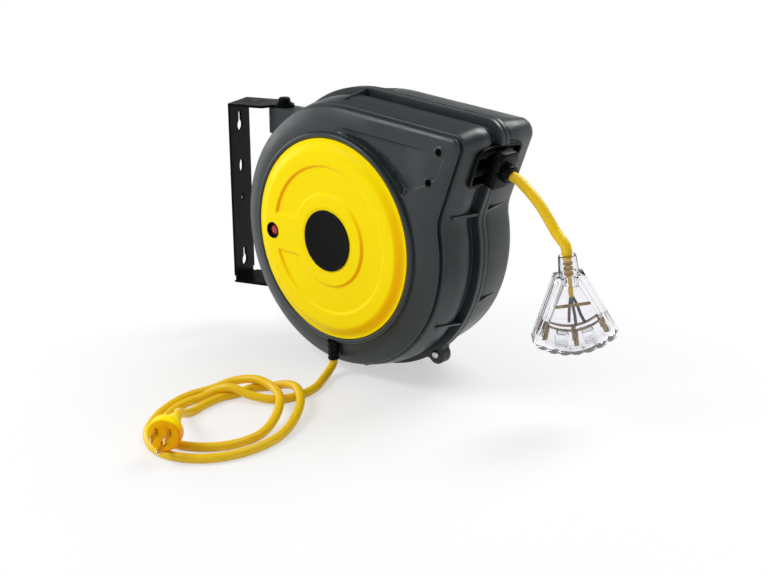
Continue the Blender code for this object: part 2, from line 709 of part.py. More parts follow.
def make_screws(reel):
    for place, (x, z) in NOSE_SCREWS.items():
        profile = [(0, NOSE_HEAD_Y), (NOSE_HEAD_R, NOSE_HEAD_Y),
                   (NOSE_HEAD_R, NOSE_HEAD_Y + SCREW_HEAD_HEIGHT),
                   (SCREW_R, NOSE_HEAD_Y + SCREW_HEAD_HEIGHT),
                   (SCREW_R, NOSE_SCREW_END[place]), (0, NOSE_SCREW_END[place])]
        add_object(f"nose_screw_{place}", turned_mesh("nose screw", profile, 16), black_steel(),
                   reel, (x, 0, z))
    head = LIP_Y - GAP - SCREW_HEAD_HEIGHT
    tail = SEAM_Y + LIP_WIDTH + 0.0020
    for place, (x, z) in TAB_SCREWS.items():
        profile = [(0, head), (TAB_HEAD_R * 0.7, head), (TAB_HEAD_R, head + 0.0012),
                   (TAB_HEAD_R, LIP_Y - GAP), (SCREW_R, LIP_Y - GAP), (SCREW_R, tail), (0, tail)]
        add_object(f"tab_screw_{place}", turned_mesh("tab screw", profile, 16), zinc_steel(),
                   reel, (x, 0, z))


# ---------------------------------------------------------------- cover, label and breaker
def channel_outline():
    gap = CHANNEL_HALF_GAP
    outer = arc(0, 0, CHANNEL_OUTER_R, -math.pi + gap, math.pi - gap, 40)
    inner = arc(0, 0, CHANNEL_INNER_R, math.pi - gap * 1.6, -math.pi + gap * 1.6, 32)
    return outer + inner


def make_cover(reel):
    face, back = -COVER_RISE, COVER_THICK - COVER_RISE
    inner_r = COVER_R - COVER_THICK
    profile = [(0, face), (COVER_PLATEAU_R, face), (COVER_PLATEAU_R + 0.0025, face + 0.0006),
               (COVER_R - 0.0015, 0), (COVER_R, 0.0012), (COVER_R, COVER_SKIRT),
               (inner_r, COVER_SKIRT), (inner_r, COVER_INNER_Y), (COVER_PLATEAU_R, back), (0, back)]
    cover = add_object("front_cover", turned_mesh("front_cover", profile, 60), yellow_plastic(), reel)
    mesh = plate_mesh("channel", channel_outline(), face - 0.001, face + CHANNEL_DEPTH)
    boolean(cover, add_cutter("cover channel", mesh, reel))
    mesh = rod_mesh("button hole", BUTTON_COLLAR_R + GAP, face - 0.002, 0.004, 26)
    boolean(cover, add_cutter("button hole", mesh, reel, (BUTTON_X, 0, BUTTON_Z)))
    disc = [(0, face - GAP - LABEL_THICK), (LABEL_R - 0.0004, face - GAP - LABEL_THICK),
            (LABEL_R, face - GAP - LABEL_THICK + 0.0004), (LABEL_R, face - GAP), (0, face - GAP)]
    add_object("cover_label", turned_mesh("cover_label", disc, 48), black_plastic(), reel)


def make_breaker(reel):
    face = -COVER_RISE
    depth = BREAKER_SIZE[1]
    centre = (BUTTON_X, COVER_INNER_Y + GAP + depth / 2, BUTTON_Z)
    body = add_object("breaker_body", box_mesh("breaker_body", BREAKER_SIZE), black_plastic(),
                      reel, centre)
    collar = rod_mesh("collar", BUTTON_COLLAR_R, face - 0.0008, COVER_INNER_Y + depth / 2, 24)
    boolean(body, add_cutter("breaker collar", collar, reel, (BUTTON_X, 0, BUTTON_Z)), "UNION")
    bore_end = COVER_INNER_Y + 0.0060
    bore = rod_mesh("button bore", BUTTON_R + GAP, face - 0.003, bore_end, 24)
    boolean(body, add_cutter("button bore", bore, reel, (BUTTON_X, 0, BUTTON_Z)))
    well = rod_mesh("button well", BUTTON_COLLAR_R - BUTTON_WELL_RIM, face - 0.003, face + BUTTON_WELL, 24)
    boolean(body, add_cutter("button well", well, reel, (BUTTON_X, 0, BUTTON_Z)))
    tail = bore_end - BUTTON_TRAVEL - GAP
    tip = face + BUTTON_SUNK
    profile = [(0, tip), (BUTTON_R - 0.0012, tip), (BUTTON_R, tip + 0.0010), (BUTTON_R, tail), (0, tail)]
    add_object("reset_button", turned_mesh("reset_button", profile, 24), red_plastic(), reel,
               (BUTTON_X, 0, BUTTON_Z))


# ---------------------------------------------------------------- drum, axle and spring
BUSH_HOLE_R = BUSH_R + GAP
AXLE_SHOULDER_Y = BACK_FACE_Y - WALL - GAP
AXLE_END_Y = BACK_FACE_Y + REAR_BOSS_HEIGHT + AXLE_NUT_HEIGHT + 0.0020
HOLDER_FRONT_Y = 0.0130
HOLDER_BACK_Y = 0.0185


def make_axle(reel):
    shoulder = AXLE_SHOULDER_Y
    arbor_front = SPRING_BACK_Y - SPRING_WIDTH
    profile = [(0, HOLDER_FRONT_Y - 0.001), (AXLE_R, HOLDER_FRONT_Y - 0.001),
               (AXLE_R, arbor_front), (SPRING_ARBOR_R, arbor_front),
               (SPRING_ARBOR_R, SPRING_BACK_Y), (AXLE_R, SPRING_BACK_Y),
               (AXLE_R, shoulder - 0.0030), (AXLE_HEAD_R + 0.0050, shoulder - 0.0030),
               (AXLE_HEAD_R + 0.0050, shoulder), (AXLE_R, shoulder), (AXLE_R, AXLE_END_Y), (0, AXLE_END_Y)]
    add_object("axle", turned_mesh("axle", profile, 32), zinc_steel(), reel)
    seat = BACK_FACE_Y + REAR_BOSS_HEIGHT + GAP
    nut = hex_nut_mesh("axle_nut", AXLE_R + GAP, AXLE_HEAD_R, seat, seat + AXLE_NUT_HEIGHT)
    add_object("axle_nut", nut, zinc_steel(), reel)


def make_drum(reel):
    web = DRUM_FLANGE_THICK
    back_flange = DRUM_BACK_Y - web
    inner_r = DRUM_HUB_R - DRUM_HUB_WALL
    front = [(BUSH_HOLE_R, DRUM_FRONT_Y), (DRUM_FLANGE_R, DRUM_FRONT_Y), (DRUM_FLANGE_R, DRUM_FRONT_Y + web),
             (DRUM_HUB_R, DRUM_FRONT_Y + web), (DRUM_HUB_R, back_flange - GAP), (inner_r, back_flange - GAP),
             (inner_r, DRUM_FRONT_Y + web), (BUSH_HOLE_R, DRUM_FRONT_Y + web)]
    add_object("drum_front", turned_mesh("drum_front", front), grey_plastic(), reel)
    rear = [(BUSH_HOLE_R, back_flange), (DRUM_FLANGE_R, back_flange), (DRUM_FLANGE_R, DRUM_BACK_Y),
            (BUSH_HOLE_R, DRUM_BACK_Y)]
    add_object("drum_rear", turned_mesh("drum_rear", rear), grey_plastic(), reel)
    pack_low, pack_high = DRUM_FRONT_Y + web + GAP, back_flange - GAP
    pack = [(DRUM_HUB_R + GAP, pack_low), (CORD_PACK_R - CORD_D / 2, pack_low),
            (CORD_PACK_R, pack_low + CORD_D / 2), (CORD_PACK_R, pack_high - CORD_D / 2),
            (CORD_PACK_R - CORD_D / 2, pack_high), (DRUM_HUB_R + GAP, pack_high)]
    add_object("wound_cord", turned_mesh("wound_cord", pack), cord_jacket(), reel)
    make_bushes(reel, DRUM_FRONT_Y, DRUM_BACK_Y, web)


def make_bushes(reel, front_y, back_y, web):
    bore = AXLE_R + GAP
    for name, seat, way in (("bush_front", front_y, 1), ("bush_rear", back_y, -1)):
        flange_y = seat - way * GAP
        edge_y = flange_y - way * BUSH_FLANGE_THICK
        tip = seat + way * (web + 0.0015)
        profile = [(bore, edge_y), (BUSH_FLANGE_R, edge_y), (BUSH_FLANGE_R, flange_y), (BUSH_R, flange_y),
                   (BUSH_R, tip), (bore, tip)]
        add_object(name, turned_mesh(name, profile, 32), brass(), reel)


def make_main_spring(reel):
    """Flat spiral band wound from the axle out to the hub's wall."""
    steps = SPRING_TURNS * 18
    inner, outer = [], []
    for k in range(steps + 1):
        share = k / steps
        angle = 2 * math.pi * SPRING_TURNS * share
        radius = SPRING_INNER_R + (SPRING_OUTER_R - SPRING_INNER_R) * share
        direction = (math.cos(angle), math.sin(angle))
        inner.append((direction[0] * radius, direction[1] * radius))
        outer.append((direction[0] * (radius + SPRING_BAND), direction[1] * (radius + SPRING_BAND)))
    outline = inner + outer[::-1]
    mesh = plate_mesh("main_spring", outline, SPRING_BACK_Y - SPRING_WIDTH, SPRING_BACK_Y)
    add_object("main_spring", mesh, spring_steel(), reel)


def ratchet_outline():
    points = []
    for k in range(RATCHET_TEETH):
        start = 2 * math.pi * k / RATCHET_TEETH
        step = 2 * math.pi / RATCHET_TEETH
        for share, radius in ((0.0, RATCHET_R), (0.06, RATCHET_R - RATCHET_TOOTH),
                              (0.45, RATCHET_R - RATCHET_TOOTH), (0.85, RATCHET_R - RATCHET_TOOTH * 0.3)):
            angle = start + step * share
            points.append((radius * math.cos(angle), radius * math.sin(angle)))
    return points


def make_ratchet(reel):
    low = DRUM_BACK_Y + GAP
    mesh = plate_mesh("ratchet_wheel", ratchet_outline(), low, low + RATCHET_THICK)
    wheel = add_object("ratchet_wheel", mesh, zinc_steel(), reel)
    hole = rod_mesh("ratchet hole", RATCHET_HOLE_R, low - 0.01, low + 0.02, 32)
    boolean(wheel, add_cutter("ratchet hole", hole, reel))
    pivot = (PAWL_PIVOT_R * math.cos(PAWL_ANGLE), 0, PAWL_PIVOT_R * math.sin(PAWL_ANGLE))
    post_low, post_high = low - GAP, BACK_FACE_Y - WALL - GAP
    post = [(0, post_low), (PAWL_POST_R, post_low), (PAWL_POST_R, low + RATCHET_THICK + GAP),
            (PAWL_EYE_R, low + RATCHET_THICK + GAP), (PAWL_EYE_R, post_high), (0, post_high)]
    add_object("pawl_post", turned_mesh("pawl_post", post, 20), zinc_steel(), reel, pivot)
    reach = PAWL_PIVOT_R - RATCHET_R - 0.0012
    eye = arc(0, 0, PAWL_EYE_R, math.radians(35), math.radians(325), 14)
    nose = [(reach * 0.55, -0.0052), (reach, -0.0016), (reach, 0.0016), (reach * 0.55, 0.0034)]
    outline = [(x * -1, z) for x, z in eye + nose]
    pawl = add_object("pawl", plate_mesh("pawl", outline, low, low + PAWL_THICK), zinc_steel(), reel, pivot,
                      Matrix.Rotation(-(PAWL_ANGLE - math.pi) - math.pi, 3, "Y"))
    bore = rod_mesh("pawl bore", PAWL_POST_R + GAP, low - 0.01, low + 0.02, 20)
    boolean(pawl, add_cutter("pawl bore", bore, reel, pivot))


# ---------------------------------------------------------------- slip rings and brushes
def make_slip_rings(reel):
    seat = DRUM_FRONT_Y - GAP
    front = seat - BUSH_FLANGE_THICK - GAP - SLIP_PLATE_THICK
    bore = BUSH_FLANGE_R + GAP
    plate = [(bore, front), (SLIP_PLATE_R, front), (SLIP_PLATE_R, seat), (bore, seat)]
    add_object("slip_ring_plate", turned_mesh("slip_ring_plate", plate), black_plastic(), reel)
    ring_back = front - GAP
    for name, radius in zip(("line", "neutral", "ground"), SLIP_RING_RADII):
        half = SLIP_RING_WIDTH / 2
        ring = [(radius - half, ring_back - SLIP_RING_THICK), (radius + half, ring_back - SLIP_RING_THICK),
                (radius + half, ring_back), (radius - half, ring_back)]
        add_object(f"slip_ring_{name}", turned_mesh(f"slip_ring_{name}", ring), brass(), reel)
        brush_low, brush_high = HOLDER_BACK_Y + GAP, ring_back - SLIP_RING_THICK - GAP
        size = (BRUSH_WIDTH, brush_high - brush_low, BRUSH_HEIGHT)
        add_object(f"brush_{name}", box_mesh(f"brush_{name}", size), copper_carbon(), reel,
                   (-radius, (brush_low + brush_high) / 2, 0))
    tip = SLIP_RING_RADII[-1] + SLIP_RING_WIDTH
    outline = (arc(0, 0, HOLDER_ROOT_R, -math.pi / 2, math.pi / 2, 12)
               + arc(-tip, 0, HOLDER_TIP_R, math.pi / 2, 3 * math.pi / 2, 10))
    holder = add_object("brush_holder", plate_mesh("brush_holder", outline, HOLDER_FRONT_Y, HOLDER_BACK_Y),
                        black_plastic(), reel)
    bore = rod_mesh("holder bore", AXLE_R + GAP, HOLDER_FRONT_Y - 0.01, HOLDER_BACK_Y + 0.01, 32)
    boolean(holder, add_cutter("holder bore", bore, reel))


# ---------------------------------------------------------------- cord guide, rollers and stopper
ROLLER_OFFSET = CORD_D / 2 + ROLLER_CLEARANCE + ROLLER_R
LEVEL_ROLLER_DIST = SEAM_BULGE - 0.0060
UPRIGHT_ROLLER_DIST = LEVEL_ROLLER_DIST - 0.0100
GUIDE_INNER_WIDTH = MOUTH_HALF_WIDTH - GAP - GUIDE_SIDE_WALL
GUIDE_INNER_HEIGHT = MOUTH_HALF_HEIGHT - GAP - GUIDE_TOP_WALL


def guide_roller(name, reel, distance, across, up, half_length, wall, along_y):
    """Roller with a journal at each end, turning in the guide frame's walls."""
    end = half_length - ROLLER_END_GAP
    journal = half_length + wall
    profile = [(0, -journal), (ROLLER_PIN_R, -journal), (ROLLER_PIN_R, -end), (ROLLER_R, -end),
               (ROLLER_R, end), (ROLLER_PIN_R, end), (ROLLER_PIN_R, journal), (0, journal)]
    turn = end_face_turn()
    if not along_y:
        turn = turn @ Matrix.Rotation(math.pi / 2, 3, "X")
    add_object(name, turned_mesh(name, profile, 16), zinc_steel(), reel,
               end_face_point(distance, across, up), turn)


def make_guide(reel):
    centre, turn = end_face_point(0, 0, 0), outward_turn()
    back, seat = SEAM_BULGE + GAP - GUIDE_DEPTH, SEAM_BULGE + GAP
    block = mouth_block("cord_guide", -GAP, back, seat + GUIDE_LIP_THICK / 2)
    frame = add_object("cord_guide", block, black_plastic(), reel, centre, turn)
    lip = mouth_block("lip", GUIDE_LIP, seat, seat + GUIDE_LIP_THICK)
    boolean(frame, add_cutter("guide lip", lip, reel, centre, turn), "UNION")
    window = plate_mesh("window", rounded_outline(GUIDE_INNER_WIDTH, GUIDE_INNER_HEIGHT, MOUTH_CORNER_R / 2),
                        2 * back, seat + 2 * GUIDE_LIP_THICK)
    boolean(frame, add_cutter("guide window", window, reel, centre, turn))
    reach = MOUTH_HALF_WIDTH + GUIDE_LIP
    pin_hole = rod_mesh("pin hole", ROLLER_PIN_R + GAP, -reach, reach, 16)
    for place, side in (("upper", 1), ("lower", -1)):
        spot = end_face_point(LEVEL_ROLLER_DIST, 0, side * ROLLER_OFFSET)
        boolean(frame, add_cutter(f"pin hole {place}", pin_hole.copy(), reel, spot, end_face_turn()))
        guide_roller(f"guide_roller_{place}", reel, LEVEL_ROLLER_DIST, 0, side * ROLLER_OFFSET,
                     GUIDE_INNER_WIDTH, GUIDE_SIDE_WALL, True)
    for place, side in (("front", -1), ("rear", 1)):
        spot = end_face_point(UPRIGHT_ROLLER_DIST, side * ROLLER_OFFSET, 0)
        turn = end_face_turn() @ Matrix.Rotation(math.pi / 2, 3, "X")
        boolean(frame, add_cutter(f"pin hole {place}", pin_hole.copy(), reel, spot, turn))
        guide_roller(f"guide_roller_{place}", reel, UPRIGHT_ROLLER_DIST, side * ROLLER_OFFSET, 0,
                     GUIDE_INNER_HEIGHT, GUIDE_TOP_WALL - GAP, False)


STOPPER_START = SEAM_BULGE + 2 * GAP + GUIDE_LIP_THICK
STOPPER_END = STOPPER_START + STOPPER_PLATE + STOPPER_SLEEVE


def make_stopper(reel):
    """Two halves clamped round the cord, a block too big to pass the guide and a round sleeve."""
    centre, turn = end_face_point(0, 0, 0), outward_turn()
    block_end = STOPPER_START + STOPPER_PLATE
    for name, side in (("upper", 1), ("lower", -1)):
        outline = rounded_outline(STOPPER_HALF_WIDTH, STOPPER_HALF_HEIGHT, STOPPER_CORNER_R)
        block = plate_mesh(f"stopper_{name}", outline, STOPPER_START, block_end)
        half = add_object(f"cord_stopper_{name}", block, black_plastic(), reel, centre, turn)
        root, radius = STOPPER_START + STOPPER_PLATE / 2, STOPPER_SLEEVE_R
        sleeve = turned_mesh("sleeve", [(0, root), (radius, root), (radius, STOPPER_END - STOPPER_CHAMFER),
                                        (radius - STOPPER_CHAMFER, STOPPER_END), (0, STOPPER_END)], 20)
        boolean(half, add_cutter(f"stopper sleeve {name}", sleeve, reel, centre, turn), "UNION")
        bore = rod_mesh("stopper bore", CORD_D / 2 + GAP, 0, 2 * STOPPER_END, 16)
        boolean(half, add_cutter(f"stopper bore {name}", bore, reel, centre, turn))
        size = (4 * STOPPER_HALF_WIDTH, 4 * STOPPER_END, 2 * STOPPER_HALF_HEIGHT)
        away = (0, 0, side * (GAP / 2 - STOPPER_HALF_HEIGHT))
        boolean(half, add_cutter(f"stopper split {name}", box_mesh("split", size, away), reel, centre, turn))


# ---------------------------------------------------------------- cords
LEAD_STEP = 2.2               # spacing of the lead's points, in diameters
END_STUB = 0.0035             # straight stub at each end of a cord, so that its end is square


def smooth_route(points, spacing):
    """Points at an even spacing along a centripetal Catmull-Rom curve through a route."""
    pts = [Vector(p) for p in points]
    pts = [2 * pts[0] - pts[1], *pts, 2 * pts[-1] - pts[-2]]
    dense = [pts[1]]
    for a, b, c, d in zip(pts, pts[1:], pts[2:], pts[3:]):
        t = [0.0]
        for p, q in ((a, b), (b, c), (c, d)):
            t.append(t[-1] + max((q - p).length, 1e-6) ** 0.5)
        for k in range(1, 25):
            u = t[1] + (t[2] - t[1]) * k / 24
            ab = a * ((t[1] - u) / (t[1] - t[0])) + b * ((u - t[0]) / (t[1] - t[0]))
            bc = b * ((t[2] - u) / (t[2] - t[1])) + c * ((u - t[1]) / (t[2] - t[1]))
            cd = c * ((t[3] - u) / (t[3] - t[2])) + d * ((u - t[2]) / (t[3] - t[2]))
            abc = ab * ((t[2] - u) / (t[2] - t[0])) + bc * ((u - t[0]) / (t[2] - t[0]))
            bcd = bc * ((t[3] - u) / (t[3] - t[1])) + cd * ((u - t[1]) / (t[3] - t[1]))
            dense.append(abc * ((t[2] - u) / (t[2] - t[1])) + bcd * ((u - t[1]) / (t[2] - t[1])))
    total = sum((q - p).length for p, q in zip(dense, dense[1:]))
    count = max(2, round(total / spacing))
    marks = [END_STUB, *(total * k / count for k in range(1, count)), total - END_STUB]
    out, walked = [dense[0]], 0.0
    for p, q in zip(dense, dense[1:]):
        step = (q - p).length
        while marks and walked + step >= marks[0]:
            out.append(p.lerp(q, (marks.pop(0) - walked) / step))
        walked += step
    return [*out, dense[-1]]


def make_tube(name, route, diameter, reel, spacing):
    points = smooth_route(route, spacing)
    curve = bpy.data.curves.new(name, "CURVE")
    curve.dimensions = "3D"
    curve.bevel_depth = diameter / 2
    curve.bevel_resolution = 2
    curve.use_fill_caps = True
    spline = curve.splines.new("POLY")
    spline.points.add(len(points) - 1)
    for slot, point in zip(spline.points, points):
        slot.co = (*point, 1)
    obj = bpy.data.objects.new(name, curve)
    bpy.context.scene.collection.objects.link(obj)
    obj.parent = reel
    curve.materials.append(cord_jacket())
    return obj


FLOOR_Z = -(BODY_R + LIP_HEIGHT)
LAID = FLOOR_Z + LEAD_D / 2 + GAP          # centre height of the lead lying on the floor
OVER = LAID + LEAD_D + 2 * GAP             # the same where it crosses over itself
TAP_NECK = (0.2531, SEAM_Y, 0.0213)
TAP_TILT = math.radians(8.0)
PLUG_REAR = (0.0120, -0.2240, FLOOR_Z + 0.0262)
PLUG_TURN = math.radians(-55.0)

OUTPUT_ROUTE = [(0.1993, 0.0680, 0.0805), (0.2106, 0.0680, 0.0720), (0.2212, 0.0680, 0.0625),
                (0.2318, 0.0680, 0.0502), (0.2399, 0.0680, 0.0404)]

LEAD_ROUTE = [
    (RELIEF_X, RELIEF_Y, RELIEF_END - 0.0040), (0.0040, -0.0080, -0.1450), (0.0120, -0.0250, LAID + 0.0010),
    (0.0220, -0.0480, LAID), (0.0240, -0.0720, LAID), (0.0150, -0.0950, LAID),
    (-0.0060, -0.1120, LAID + 0.0040), (-0.0260, -0.1210, OVER), (-0.0400, -0.1300, LAID + 0.0060),
    (-0.0470, -0.1440, LAID), (-0.0480, -0.1620, LAID), (-0.0430, -0.1830, LAID),
    (-0.0330, -0.2030, LAID), (-0.0180, -0.2210, LAID), (0.0010, -0.2320, LAID),
    (0.0220, -0.2310, LAID), (0.0400, -0.2220, LAID), (0.0550, -0.2070, LAID),
    (0.0640, -0.1860, LAID), (0.0640, -0.1620, LAID), (0.0550, -0.1360, LAID + 0.0040),
    (0.0400, -0.1140, OVER), (0.0200, -0.0980, OVER), (-0.0030, -0.0890, OVER),
    (-0.0260, -0.0900, OVER), (-0.0450, -0.1020, LAID + 0.0060), (-0.0560, -0.1220, LAID),
    (-0.0600, -0.1500, LAID), (-0.0550, -0.1780, LAID), (-0.0440, -0.2030, LAID),
    (-0.0270, -0.2270, LAID), (-0.0050, -0.2440, LAID), (0.0210, -0.2520, LAID),
    (0.0450, -0.2470, LAID), (0.0660, -0.2310, LAID), (0.0790, -0.2080, LAID),
    (0.0840, -0.1800, LAID), (0.0800, -0.1500, LAID), (0.0680, -0.1220, LAID + 0.0020),
    (0.0480, -0.0930, LAID + 0.0070), (0.0250, -0.0760, OVER), (0.0030, -0.0700, LAID + 0.0060),
    (-0.0160, -0.0770, LAID), (-0.0270, -0.0930, LAID), (-0.0270, -0.1120, LAID),
    (-0.0320, -0.1290, LAID), (-0.0310, -0.1500, LAID), (-0.0260, -0.1740, LAID),
    (-0.0180, -0.1930, LAID + 0.0070), (-0.0080, -0.2040, LAID + 0.0150),
]


def plug_direction():
    return Vector((math.cos(PLUG_TURN), math.sin(PLUG_TURN), 0))


def make_cords(reel):
    start = (CORD_PACK_R + CORD_D / 2 + GAP) * 1.0015
    tangent = math.radians(83.0)
    inside = [(start * math.cos(tangent), SEAM_Y, start * math.sin(tangent))]
    inside.append((0.0700, SEAM_Y, MOUTH_Z + 0.0045))
    for distance in (UPRIGHT_ROLLER_DIST, LEVEL_ROLLER_DIST, STOPPER_START, STOPPER_END):
        inside.append(end_face_point(distance, 0, 0))
    make_tube("inner_cord", inside, CORD_D, reel, 2 * CORD_D)
    leaving = [end_face_point(STOPPER_END + step, 0, 0) for step in (2 * GAP, 0.0080)]
    neck = [Vector(TAP_NECK) - tap_down() * step for step in (0.0080, 2 * GAP)]
    make_tube("output_cord", [*leaving, *OUTPUT_ROUTE, *neck], CORD_D, reel, 2 * CORD_D)
    top = (RELIEF_X, RELIEF_Y, RELIEF_END - GAP)
    rear = [Vector(PLUG_REAR) - plug_direction() * step for step in (0.0100, 2 * GAP)]
    make_tube("input_lead", [top, *LEAD_ROUTE, *rear], LEAD_D, reel, LEAD_STEP * LEAD_D)


def make_relief(reel):
    """Ribbed, tapered boot that the lead leaves the housing through."""

    def taper(share):
        return RELIEF_R + (RELIEF_TIP_R - RELIEF_R) * share, -RELIEF_TOP + RELIEF_LENGTH * share

    profile = [(0, -RELIEF_TOP), taper(0)]
    for k in range(RELIEF_RIBS):
        for share, sunk in ((0.40, 0), (0.45, 1), (0.75, 1), (0.80, 0)):
            radius, y = taper((k + share) / (RELIEF_RIBS + 0.2))
            profile.append((radius - RELIEF_GROOVE * sunk, y))
    profile += [taper(1), (0, -RELIEF_END)]
    add_object("lead_strain_relief", turned_mesh("lead_strain_relief", profile, 20), black_plastic(),
               reel, (RELIEF_X, RELIEF_Y, 0), Matrix.Rotation(-math.pi / 2, 3, "X"))


# ---------------------------------------------------------------- triple tap and plug
TAP_NECK_R = 0.0088
TAP_NECK_FOOT_R = 0.0104
TAP_NECK_LENGTH = 0.0180
TAP_SHOULDER_HALF = 0.0145
TAP_CORNER = 0.0045           # how far the foot's corners are cut back
TAP_HALF_WIDTH = 0.0425
TAP_SIDE_END = 0.1020
TAP_ARC_RISE = 0.0160
TAP_HALF_THICK = 0.0120
TAP_WALL = 0.0026
TAP_BAR_THICK = 0.0010
BUS_HALF = 0.0280             # half the arched strip's span
BUS_MIDDLE = 0.0905           # strip's middle below the tap's top
BUS_RISE = 0.0085
BUS_STRIP = 0.0034
BUS_LEG = 0.0056
BUS_SPLAY = 0.0045
BUS_SIDE_END = 0.0970
BUS_MIDDLE_END = 0.1095
GROUND_BAR_SIZE = (0.0170, 0.0016)
GROUND_BAR_Z = -0.0660
TAP_AZIMUTH = math.radians(43.0)


def tap_down():
    across = Vector((math.cos(TAP_AZIMUTH), math.sin(TAP_AZIMUTH), 0))
    return (across * math.sin(TAP_TILT) - Vector((0, 0, 1)) * math.cos(TAP_TILT)).normalized()


def tap_turn():
    """Rotation of a piece drawn in XZ, with the cord at the top, to where the tap hangs."""
    return Matrix.Rotation(TAP_AZIMUTH, 3, "Z") @ Matrix.Rotation(-TAP_TILT, 3, "Y")


def tap_outline(inset):
    """Fan outline of the tap: shoulders below the neck, flared sides and an arched foot."""
    half = TAP_HALF_WIDTH - inset
    side = TAP_SIDE_END
    radius = (half ** 2 + TAP_ARC_RISE ** 2) / (2 * TAP_ARC_RISE)
    spread = math.asin(half / radius)
    centre_z = -(side + TAP_ARC_RISE - inset) + radius
    turned = spread - TAP_CORNER / radius
    foot = arc(0, centre_z, radius, -math.pi / 2 - turned, -math.pi / 2 + turned, 10)
    top = -TAP_NECK_LENGTH - inset
    shoulder = TAP_SHOULDER_HALF - inset
    corner_x = half - TAP_CORNER * (half - shoulder) / (side + top)
    corner_z = TAP_CORNER - side
    return [(-shoulder, top), (-corner_x, corner_z), *foot, (corner_x, corner_z), (shoulder, top)]


def bus_outline():
    """Arched strip with a leg down into each of the tap's three sockets."""
    half, rise, middle, strip, leg = BUS_HALF, BUS_RISE, BUS_MIDDLE, BUS_STRIP, BUS_LEG

    def level(x):
        return rise * (x / half) ** 2 - middle

    upper = [(x * half / 4, level(x * half / 4) + strip / 2) for x in range(-4, 5)]
    side = [(half + BUS_SPLAY, -BUS_SIDE_END), (half + BUS_SPLAY - leg, -BUS_SIDE_END - leg * 0.3),
            (half - leg, level(half - leg) - strip / 2), (half / 3, level(half / 3) - strip / 2),
            (leg / 2, level(leg / 2) - strip / 2), (leg / 2, -BUS_MIDDLE_END)]
    return upper + side + [(-x, z) for x, z in reversed(side)]


def make_tap(reel):
    body = add_object("tap_body", plate_mesh("tap_body", tap_outline(0), -TAP_HALF_THICK, TAP_HALF_THICK),
                      clear_plastic(), reel, TAP_NECK, tap_turn())
    foot = TAP_NECK_LENGTH + 2 * TAP_WALL
    neck = turned_mesh("tap neck", [(0, 0), (TAP_NECK_R, 0), (TAP_NECK_FOOT_R, foot), (0, foot)], 20)
    turn = tap_turn() @ Matrix.Rotation(-math.pi / 2, 3, "X")
    boolean(body, add_cutter("tap neck", neck, reel, TAP_NECK, turn), "UNION")
    pocket = plate_mesh("tap pocket", tap_outline(TAP_WALL * 2), -TAP_HALF_THICK + TAP_WALL,
                        TAP_HALF_THICK - TAP_WALL)
    boolean(body, add_cutter("tap pocket", pocket, reel, TAP_NECK, tap_turn()))
    for k, slope in enumerate((-1, 0, 1)):
        size = (0.0140, 2 * (TAP_HALF_THICK - TAP_WALL) - 0.002, 0.030)
        place = tap_turn() @ Vector((slope * 0.0255, 0, -(TAP_SIDE_END + TAP_ARC_RISE * 0.6)))
        turn = tap_turn() @ Matrix.Rotation(-slope * math.radians(20), 3, "Y")
        slot = add_cutter(f"tap socket {k}", box_mesh("socket", size), reel, Vector(TAP_NECK) + place, turn)
        boolean(body, slot)
    outside, inside = TAP_HALF_THICK - TAP_WALL - GAP, TAP_HALF_THICK - TAP_WALL - GAP - TAP_BAR_THICK
    ground = rounded_outline(*GROUND_BAR_SIZE, GROUND_BAR_SIZE[1] / 2, 1)
    for name, outline, low, high in (("hot", bus_outline(), -outside, -inside),
                                     ("neutral", bus_outline(), inside, outside),
                                     ("ground", ground, -outside, -inside)):
        lift = GROUND_BAR_Z if name == "ground" else 0.0
        spot = Vector(TAP_NECK) + tap_turn() @ Vector((0, 0, lift))
        add_object(f"tap_{name}_bar", plate_mesh(f"tap_{name}_bar", outline, low, high), brass(), reel,
                   spot, tap_turn())


PLUG_LENGTH = 0.0380
PLUG_R = 0.0165
BLADE_LENGTH = 0.0178
BLADE_SPREAD = 0.00635
GROUND_PIN_LENGTH = 0.0205
GROUND_PIN_R = 0.0024
GROUND_PIN_DROP = 0.0119


def plug_turn():
    """Rotation that takes +Y, along which the plug is drawn, to where it points."""
    return Matrix.Rotation(PLUG_TURN - math.pi / 2, 3, "Z")


